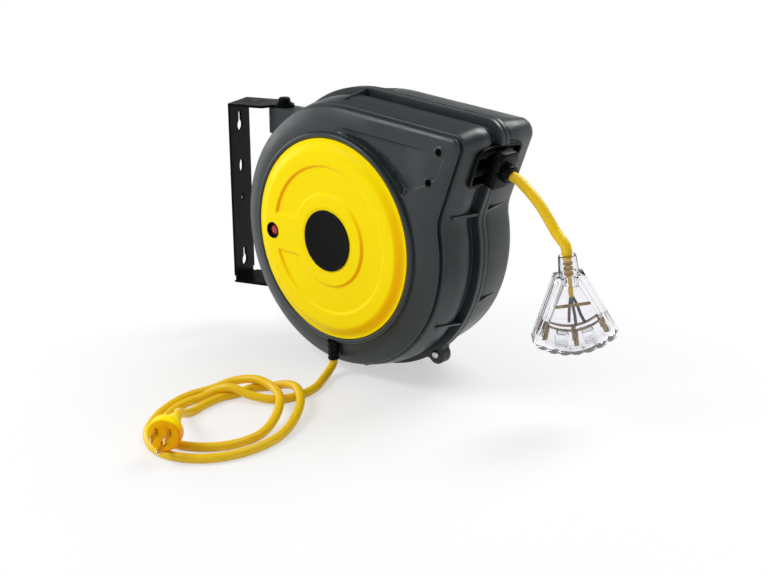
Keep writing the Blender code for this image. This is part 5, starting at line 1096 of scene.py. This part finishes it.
class ReelCords(bpy.types.Operator):
    """Input lead in its loops on the floor, and the output cord down to the tap"""
    bl_idname = "reel.cords"
    bl_label = "Cords"

    def execute(self, context):
        size = sizes()
        top = RELIEF_EXIT - (0.0, 0.0, GAP)
        rear = [PLUG_REAR - PLUG_WAY * step for step in (0.0100, 2 * GAP)]
        cord_piece("input_lead_jacket", [top, *LEAD_ROUTE, *rear], size.lead_d, ("input_lead",))
        leaving = [end_face_point(STOPPER_END + step, 0, 0) for step in (2 * GAP, 0.0080)]
        neck = [TAP_NECK + TAP_UP * step for step in (0.0080, 2 * GAP)]
        cord_piece("output_cord_jacket", [*leaving, *OUTPUT_ROUTE, *neck], size.cord_d, ("output_cord",))
        dress("inner_cord", "cord_jacket", 0.0002)
        return {"FINISHED"}


TAP_TURN = np.stack([TAP_ACROSS, TAP_THROUGH, TAP_UP], axis=1)
TAP_SIDE_END, TAP_RISE, TAP_HALF, TAP_THICK = 0.0845, 0.0155, 0.0425, 0.0120
TAP_SHOULDER, TAP_SHOULDER_HALF = 0.0190, 0.0145
TAP_SCALLOPS, TAP_SCALLOP_DEPTH = 7, 0.0014
TAP_FLUTE_R = 0.0011
BUS_LIFT = 0.0180
BUS_HALF, BUS_MIDDLE, BUS_RISE, BUS_STRIP = 0.0285, 0.0735, 0.0100, 0.0019
BUS_LEG, BUS_SPLAY, BUS_SIDE_LOW, BUS_MIDDLE_LOW = 0.0046, 0.0040, 0.0800, 0.0905
BUS_LEVELS = {"tap_hot_bar": (-0.0086, -0.0062), "tap_neutral_bar": (0.0062, 0.0086)}
WIRES = {
    "teal": ((0.010, 0.075, 0.085), [(-0.0008, -0.0016, -0.0420), (0.0004, -0.0026, -0.0500),
                                     (0.0012, -0.0046, -0.0600), (0.0010, -0.0080, -0.0700)]),
    "black": ((0.006, 0.006, 0.007), [(0.0014, -0.0004, -0.0420), (0.0048, -0.0010, -0.0500),
                                      (0.0072, -0.0030, -0.0600), (0.0102, -0.0080, -0.0680)]),
    "red": ((0.20, 0.055, 0.045), [(-0.0006, 0.0016, -0.0420), (-0.0024, 0.0028, -0.0520),
                                   (-0.0034, 0.0040, -0.0600), (-0.0040, 0.0078, -0.0700)]),
}


def tap_fan(inset, scallop=0.0, foot=0.0):
    """Outline of the fan: a shoulder, two straight sides and a round foot with shallow scallops.

    The foot is an arc of radius (half^2 + rise^2) / 2 rise whose radius swells and falls as |cos|.
    """
    half, low = TAP_HALF - inset, TAP_SIDE_END - foot
    radius = (half ** 2 + TAP_RISE ** 2) / (2 * TAP_RISE)
    spread = math.asin(half / radius)
    a = np.linspace(-spread, spread, 141)
    r = radius + scallop * (np.abs(np.cos(a / spread * TAP_SCALLOPS * math.pi / 2)) - 1)
    centre = radius - low - TAP_RISE
    arc = np.stack([r * np.sin(a), centre - r * np.cos(a)], axis=1)
    soft = arc_points(half - 0.0035, -low + 0.0030, 0.0030, -0.6, 0.35, 6)[:, :2]
    shoulder = TAP_SHOULDER_HALF - inset * 0.6
    top = [(shoulder, -TAP_SHOULDER - inset), (-shoulder, -TAP_SHOULDER - inset)]
    return np.vstack([arc[6:-6], soft, top, (soft * (-1, 1))[::-1]])


def bus_parts(low, high):
    """A bus strip: a hanging arch, z = rise (x / half)^2 above its middle, and its three legs."""
    x = np.linspace(-BUS_HALF, BUS_HALF, 40)
    top = BUS_RISE * (x / BUS_HALF) ** 2 - BUS_MIDDLE
    ring = [(low, 0.0), (high, 0.0), (high, -BUS_STRIP), (low, -BUS_STRIP)]
    rows = np.stack([np.stack([x, np.full(len(x), y), top + drop], axis=1) for y, drop in ring], axis=1)
    legs = []
    for side, foot in ((-1, BUS_SIDE_LOW), (0, BUS_MIDDLE_LOW), (1, BUS_SIDE_LOW)):
        middle, lean = side * (BUS_HALF - BUS_LEG / 2), side * BUS_SPLAY
        head = BUS_RISE * (middle / BUS_HALF) ** 2 - BUS_MIDDLE - BUS_STRIP / 2
        legs.append(prism([(middle - BUS_LEG / 2, head), (middle - BUS_LEG / 2 + lean, -foot),
                           (middle + BUS_LEG / 2 + lean, -foot), (middle + BUS_LEG / 2, head)],
                          low - 0.0002, high + 0.0002, 0.0003))
    return capped(rows), legs


def tap_flutes():
    """Long grooves beside the fan's two sides, on both faces and on the edges."""
    flutes = []
    for side in (-1, 1):
        for inset, level in ((0.0, 0.0), (0.0, 0.0062), (0.0, -0.0062), (0.0034, 0.0124),
                             (0.0034, -0.0124), (0.0078, 0.0124), (0.0078, -0.0124)):
            ends = np.array([(TAP_SHOULDER_HALF + 0.0018 - inset, -TAP_SHOULDER - 0.0030),
                             (TAP_HALF - 0.0012 - inset, -TAP_SIDE_END + 0.0060)])
            share = np.linspace(0.0, 1.0, 6)[:, None]
            xz = ends[:1] * (1 - share) + ends[1:] * share
            path = np.stack([side * xz[:, 0], np.full(6, level), xz[:, 1]], axis=1)
            flutes.append(solid(tube_points(path, TAP_FLUTE_R, 10)))
    return flutes


def tap_grid(name, points, finish, replaced=(), smooth=35.0):
    """A piece drawn in the tap's own frame: across, through and up."""
    points = points @ TAP_TURN.T + TAP_NECK + REEL
    return grid_piece(name, points, finish, "housing", replaced, smooth=smooth)


def hanging(profile, cols):
    """A turned solid whose profile of (radius, depth) points runs down from the tap's neck."""
    points = turned_points(profile, cols)
    return np.stack([points[..., 0], points[..., 2], -points[..., 1]], axis=-1)


class ReelTap(bpy.types.Operator):
    """Clear fluted triple tap with its brass bus, coloured wires and the cord's end inside"""
    bl_idname = "reel.tap"
    bl_label = "Triple tap"

    def execute(self, context):
        self.make_body()
        for node, (low, high) in BUS_LEVELS.items():
            arch, legs = bus_parts(low, high)
            points, faces = joined([arch], TAP_TURN, TAP_NECK + REEL)
            strip = new_piece(f"{node}_strip", points, faces, "bus_brass", "housing", (node,))
            carve(strip, [("UNION", *joined(legs, TAP_TURN, TAP_NECK + REEL))])
        bar = dress("tap_ground_bar", "bus_brass", 0.0002)
        bar.data.transform(Matrix.Translation(Vector(TAP_UP) * BUS_LIFT))
        self.make_cord_end()
        self.make_wires()
        self.make_windows()
        return {"FINISHED"}

    def make_body(self):
        place = (TAP_TURN, TAP_NECK + REEL)
        points, faces = joined([prism(tap_fan(0.0, TAP_SCALLOP_DEPTH), -TAP_THICK, TAP_THICK, 0.0020)], *place)
        body = new_piece("tap_body_shell", points, faces, "clear_plastic", "housing", ("tap_body",))
        neck = solid(hanging(bend_corners([(0, 0), (0.0088, 0), (0.0104, 0.0200), (0.0104, 0.0230), (0, 0.0230)],
                                          0.0005, 4), 40))
        bore = solid(hanging([(0, -0.002), (0.0070, -0.002), (0.0084, 0.0200), (0.0084, 0.0300),
                              (0, 0.0300)], 40))
        inner = TAP_THICK - 0.0030
        hollow = prism(tap_fan(0.0105, foot=0.0040), -inner, inner, 0.0012)
        carve(body, [("UNION", *joined([neck], *place)), ("DIFFERENCE", *joined([hollow], *place)),
                     ("DIFFERENCE", *joined([bore], *place)), ("DIFFERENCE", *joined(tap_flutes(), *place))])

    def make_cord_end(self):
        """The cord's jacket inside the neck, with grip rings, then its filler down to the wires."""
        r = sizes().cord_d / 2 - 0.0006
        jacket = [(0, 0.0006), (r, 0.0006), (r, 0.0046), (r - 0.0016, 0.0050), (r - 0.0016, 0.0255), (0, 0.0255)]
        tap_grid("tap_cord_end", hanging(bend_corners(jacket, 0.0002, 3), 32), "cord_jacket")
        profiles = [[(0, low), (r, low), (r, low + 0.0026), (0, low + 0.0026)] for low in (0.0072, 0.0124, 0.0176)]
        rings = [solid(hanging(bend_corners(profile, 0.0006, 4), 32)) for profile in profiles]
        points, faces = joined(rings, TAP_TURN, TAP_NECK + REEL)
        new_piece("tap_cord_rings", points, faces, "cord_filler", "housing")
        filler = [(0, 0.0256), (0.0030, 0.0256), (0.0027, 0.0340), (0.0021, 0.0440), (0, 0.0440)]
        tap_grid("tap_cord_filler", hanging(bend_corners(filler, 0.0006, 3), 24), "cord_jacket")

    def make_wires(self):
        """Three insulated cores from the cord's end to the bus."""
        for name, (base, route) in WIRES.items():
            path, _ = along(route, 0.0015)
            jacket = f"{name} wire"
            build_finish(jacket, base, 0.4, (300.0, 0.34, 0.46), (200.0, shade(base, 0.8), shade(base, 1.1)))
            tap_grid(f"tap_wire_{name}", tube_points(path, 0.0015, 12), jacket, smooth=60.0)

    def make_windows(self):
        """Clear inner walls of the sockets between the legs of the bus."""
        for k, side in enumerate((-1, 1)):
            outer = rounded_outline(0.0062, 0.0066, 0.0014, 4)
            inner = rounded_outline(0.0050, 0.0054, 0.0010, 4)
            rings = [np.insert(ring, 1, level, axis=1) for ring, level in
                     ((outer, -0.0084), (outer, 0.0084), (inner, 0.0084), (inner, -0.0084), (outer, -0.0084))]
            lean = side * math.radians(12.0)
            turn = np.array([[math.cos(lean), 0, -math.sin(lean)], [0, 1, 0], [math.sin(lean), 0, math.cos(lean)]])
            points = np.stack(rings) @ turn.T + (side * 0.0135, 0.0, -0.0830)
            tap_grid(f"tap_window_{k}", points, "clear_plastic")


class ReelPlug(bpy.types.Operator):
    """Plug of the input lead with its pins, and the ribbed boot where the lead leaves the housing"""
    bl_idname = "reel.plug"
    bl_label = "Plug and boot"

    def execute(self, context):
        dress("plug_body", "yellow_plastic", 0.0006)
        for node in ("plug_hot_blade", "plug_neutral_blade", "plug_ground_pin"):
            dress(node, "contact_brass", 0.0002)
        dress("lead_strain_relief", "black_plastic", 0.0003)
        return {"FINISHED"}


# ---------------------------------------------------------------- works inside the housing
INNER_FINISHES = {
    "drum_front": ("slate_plastic", "grey"), "drum_rear": ("slate_plastic", "grey"),
    "wound_cord": ("cord_jacket", "cord"), "bush_front": ("contact_brass", "brass"),
    "bush_rear": ("contact_brass", "brass"), "main_spring": ("blued_spring", "spring"),
    "ratchet_wheel": ("bright_zinc", "zinc"), "pawl_post": ("bright_zinc", "zinc"), "pawl": ("bright_zinc", "zinc"),
    "slip_ring_plate": ("black_plastic", "black"), "slip_ring_line": ("contact_brass", "brass"),
    "slip_ring_neutral": ("contact_brass", "brass"), "slip_ring_ground": ("contact_brass", "brass"),
    "brush_line": ("brush_carbon", "carbon"), "brush_neutral": ("brush_carbon", "carbon"),
    "brush_ground": ("brush_carbon", "carbon"), "brush_holder": ("black_plastic", "black"),
    "axle": ("bright_zinc", "zinc"), "axle_nut": ("bright_zinc", "zinc"),
}


class ReelWorks(bpy.types.Operator):
    """Finishes of the drum, spring, ratchet, slip rings and axle inside the housing"""
    bl_idname = "reel.works"
    bl_label = "Inner works"

    def execute(self, context):
        for node, (finish, slot) in INNER_FINISHES.items():
            obj = frame["nodes"][node]
            obj.data.materials.clear()
            obj.data.materials.append(finish_of(finish))
        return {"FINISHED"}


# ---------------------------------------------------------------- stage
CAMERA_AZIMUTH = math.radians(42.746)
CAMERA_ELEVATION = math.radians(18.799)
CAMERA_PLACE = np.array([0.9001, -0.8901, 0.3770])
FADE_MIDDLE = np.array([0.235, -0.070, 0.0])
FADE_REACH = np.array([0.58, 0.58, 1.0])
FADE_START = 0.26
FADE_LEAST = 0.54
HORIZON_TOP, DIM_FROM = 0.06, 0.34
DIM_ABOVE = 0.16
LAMPS = {
    "key": ((-0.9, -1.3, 1.5), 1.0, 26.5), "fill": ((1.6, -1.0, 0.8), 1.4, 2.5),
    "top": ((0.20, 0.75, 1.45), 0.8, 10.0), "left": ((-1.60, -0.25, 0.42), 0.8, 5.0),
    "back": ((0.25, 1.25, 1.15), 0.7, 12.0),
}


def plain_light(name, place, aim, width, power):
    lamp = bpy.data.lights.new(name, "AREA")
    lamp.shape = "SQUARE"
    lamp.size = width
    lamp.energy = power
    obj = linked(name, lamp)
    obj.location = place
    obj.visible_camera = False
    obj.rotation_mode = "QUATERNION"
    obj.rotation_quaternion = (Vector(aim) - Vector(place)).to_track_quat("-Z", "Y")


def seen_as_white(tree):
    """1 for camera, glossy and transmission rays, so that they meet a plain white background."""
    path = tree.nodes.new("ShaderNodeLightPath")
    total = path.outputs["Is Camera Ray"]
    for ray in ("Is Glossy Ray", "Is Transmission Ray"):
        add = tree.nodes.new("ShaderNodeMath")
        add.operation = "MAXIMUM"
        tree.links.new(total, add.inputs[0])
        tree.links.new(path.outputs[ray], add.inputs[1])
        total = add.outputs[0]
    return total


class ReelStage(bpy.types.Operator):
    """Pale floor, soft light, white surroundings and the camera"""
    bl_idname = "reel.stage"
    bl_label = "Stage"

    def execute(self, context):
        scene = context.scene
        self.make_floor()
        self.make_world(scene)
        middle = REEL + (0.02, 0.0, 0.0)
        for name, (offset, width, power) in LAMPS.items():
            plain_light(f"{name} light", middle + offset, middle, width, power)
        self.make_camera(scene)
        scene.view_settings.view_transform = "Standard"
        return {"FINISHED"}

    def make_floor(self):
        base = colours().floor
        mesh = bpy.data.meshes.new("floor")
        corners = np.array([(-4.0, -4.0), (4.0, -4.0), (4.0, 4.0), (-4.0, 4.0)])
        mesh.from_pydata(np.column_stack([corners, np.full(4, FLOOR_Z)]).tolist(), [], [(0, 1, 2, 3)])
        floor = linked("floor", mesh)
        finish = Finish("studio floor", base, 0.75)
        finish.tint(finish.noise(3.0), shade(base, 0.99), base)
        self.fade_to_white(finish)
        mesh.materials.append(finish.material)

    def fade_to_white(self, finish):
        """Further from the reel the floor is seen as plain white; near it, it keeps the shadow."""
        tree = finish.material.node_tree
        place = finish.nodes.new("ShaderNodeMapping")
        place.inputs["Location"].default_value = tuple(-FADE_MIDDLE / FADE_REACH)
        place.inputs["Scale"].default_value = tuple(1 / FADE_REACH)
        finish.links.new(finish.where, place.inputs["Vector"])
        away = finish.nodes.new("ShaderNodeVectorMath")
        away.operation = "LENGTH"
        finish.links.new(place.outputs["Vector"], away.inputs[0])
        far = finish.spread(away.outputs["Value"], FADE_LEAST, 1.0, FADE_START, 1.0)
        both = finish.nodes.new("ShaderNodeMath")
        both.operation = "MULTIPLY"
        finish.links.new(far, both.inputs[0])
        finish.links.new(seen_as_white(tree), both.inputs[1])
        white = finish.nodes.new("ShaderNodeEmission")
        mix = finish.nodes.new("ShaderNodeMixShader")
        finish.links.new(both.outputs[0], mix.inputs["Fac"])
        finish.links.new(finish.shader.outputs[0], mix.inputs[1])
        finish.links.new(white.outputs[0], mix.inputs[2])
        finish.links.new(mix.outputs[0], finish.nodes["Material Output"].inputs["Surface"])

    def make_world(self, scene):
        world = bpy.data.worlds.new("studio")
        scene.world = world
        world.use_nodes = True
        tree = world.node_tree
        white, plain, tent = (self.background(tree, tone, strength) for tone, strength in
                              (((1.0, 1.0, 1.0), 1.0), ((0.95, 0.97, 1.0), 0.33), ((1.0, 1.0, 1.0), 1.0)))
        way = tree.nodes.new("ShaderNodeTexCoord").outputs["Generated"]
        split = tree.nodes.new("ShaderNodeSeparateXYZ")
        tree.links.new(way, split.inputs[0])
        fade = tree.nodes.new("ShaderNodeMapRange")
        fade.interpolation_type = "SMOOTHSTEP"
        for socket, value in (("From Min", HORIZON_TOP), ("From Max", DIM_FROM), ("To Max", DIM_ABOVE)):
            fade.inputs[socket].default_value = value
        fade.inputs["To Min"].default_value = 1.0
        tree.links.new(split.outputs["Z"], fade.inputs["Value"])
        tree.links.new(fade.outputs["Result"], tent.inputs["Strength"])
        glossy = tree.nodes.new("ShaderNodeLightPath").outputs["Is Glossy Ray"]
        tinted = self.mixed(tree, glossy, white, tent)
        final = self.mixed(tree, seen_as_white(tree), plain, tinted)
        tree.links.new(final.outputs[0], tree.nodes["World Output"].inputs["Surface"])

    def background(self, tree, tone, strength):
        node = tree.nodes.new("ShaderNodeBackground")
        node.inputs["Color"].default_value = (*tone, 1.0)
        node.inputs["Strength"].default_value = strength
        return node

    def mixed(self, tree, share, first, second):
        node = tree.nodes.new("ShaderNodeMixShader")
        tree.links.new(share, node.inputs["Fac"])
        tree.links.new(first.outputs[0], node.inputs[1])
        tree.links.new(second.outputs[0], node.inputs[2])
        return node

    def make_camera(self, scene):
        data = bpy.data.cameras.new("camera")
        data.lens = 58.59
        data.sensor_width = 36.0
        data.dof.use_dof = False
        camera = linked("camera", data)
        camera.location = CAMERA_PLACE + REEL
        a, e = CAMERA_AZIMUTH, CAMERA_ELEVATION
        look = Vector((-math.sin(a) * math.cos(e), math.cos(a) * math.cos(e), -math.sin(e)))
        camera.rotation_mode = "QUATERNION"
        camera.rotation_quaternion = look.to_track_quat("-Z", "Y")
        scene.camera = camera


# ---------------------------------------------------------------- add-on
OPERATORS = (ReelStage, ReelHousingFront, ReelHousingRear, ReelCover, ReelLabel, ReelButton, ReelBracket,
             ReelFasteners, ReelGuide, ReelPlug, ReelTap, ReelCords, ReelWorks)


class VIEW3D_PT_cord_reel(bpy.types.Panel):
    """Lists the reel's pieces, sizes and colours"""
    bl_idname = "VIEW3D_PT_cord_reel"
    bl_label = "Cord Reel"
    bl_space_type = "VIEW_3D"
    bl_region_type = "UI"
    bl_category = "Cord Reel"

    def draw(self, context):
        for group in (context.scene.reel_sizes, context.scene.reel_colours):
            box = self.layout.box()
            for name in group.__annotations__:
                box.prop(group, name)
        for operator in OPERATORS:
            self.layout.operator(operator.bl_idname)


CLASSES = (ReelSizes, ReelColours, *OPERATORS, VIEW3D_PT_cord_reel)


def register():
    for cls in CLASSES:
        bpy.utils.register_class(cls)
    bpy.types.Scene.reel_sizes = bpy.props.PointerProperty(type=ReelSizes)
    bpy.types.Scene.reel_colours = bpy.props.PointerProperty(type=ReelColours)


def unregister():
    del bpy.types.Scene.reel_colours
    del bpy.types.Scene.reel_sizes
    for cls in reversed(CLASSES):
        bpy.utils.unregister_class(cls)


def main():
    register()
    for name in ("Cube", "Light", "Camera"):
        if name in bpy.data.objects:
            bpy.data.objects.remove(bpy.data.objects[name])
    for operator in OPERATORS:
        group, call = operator.bl_idname.split(".")
        getattr(getattr(bpy.ops, group), call)()


if __name__ == "__main__":
    main()
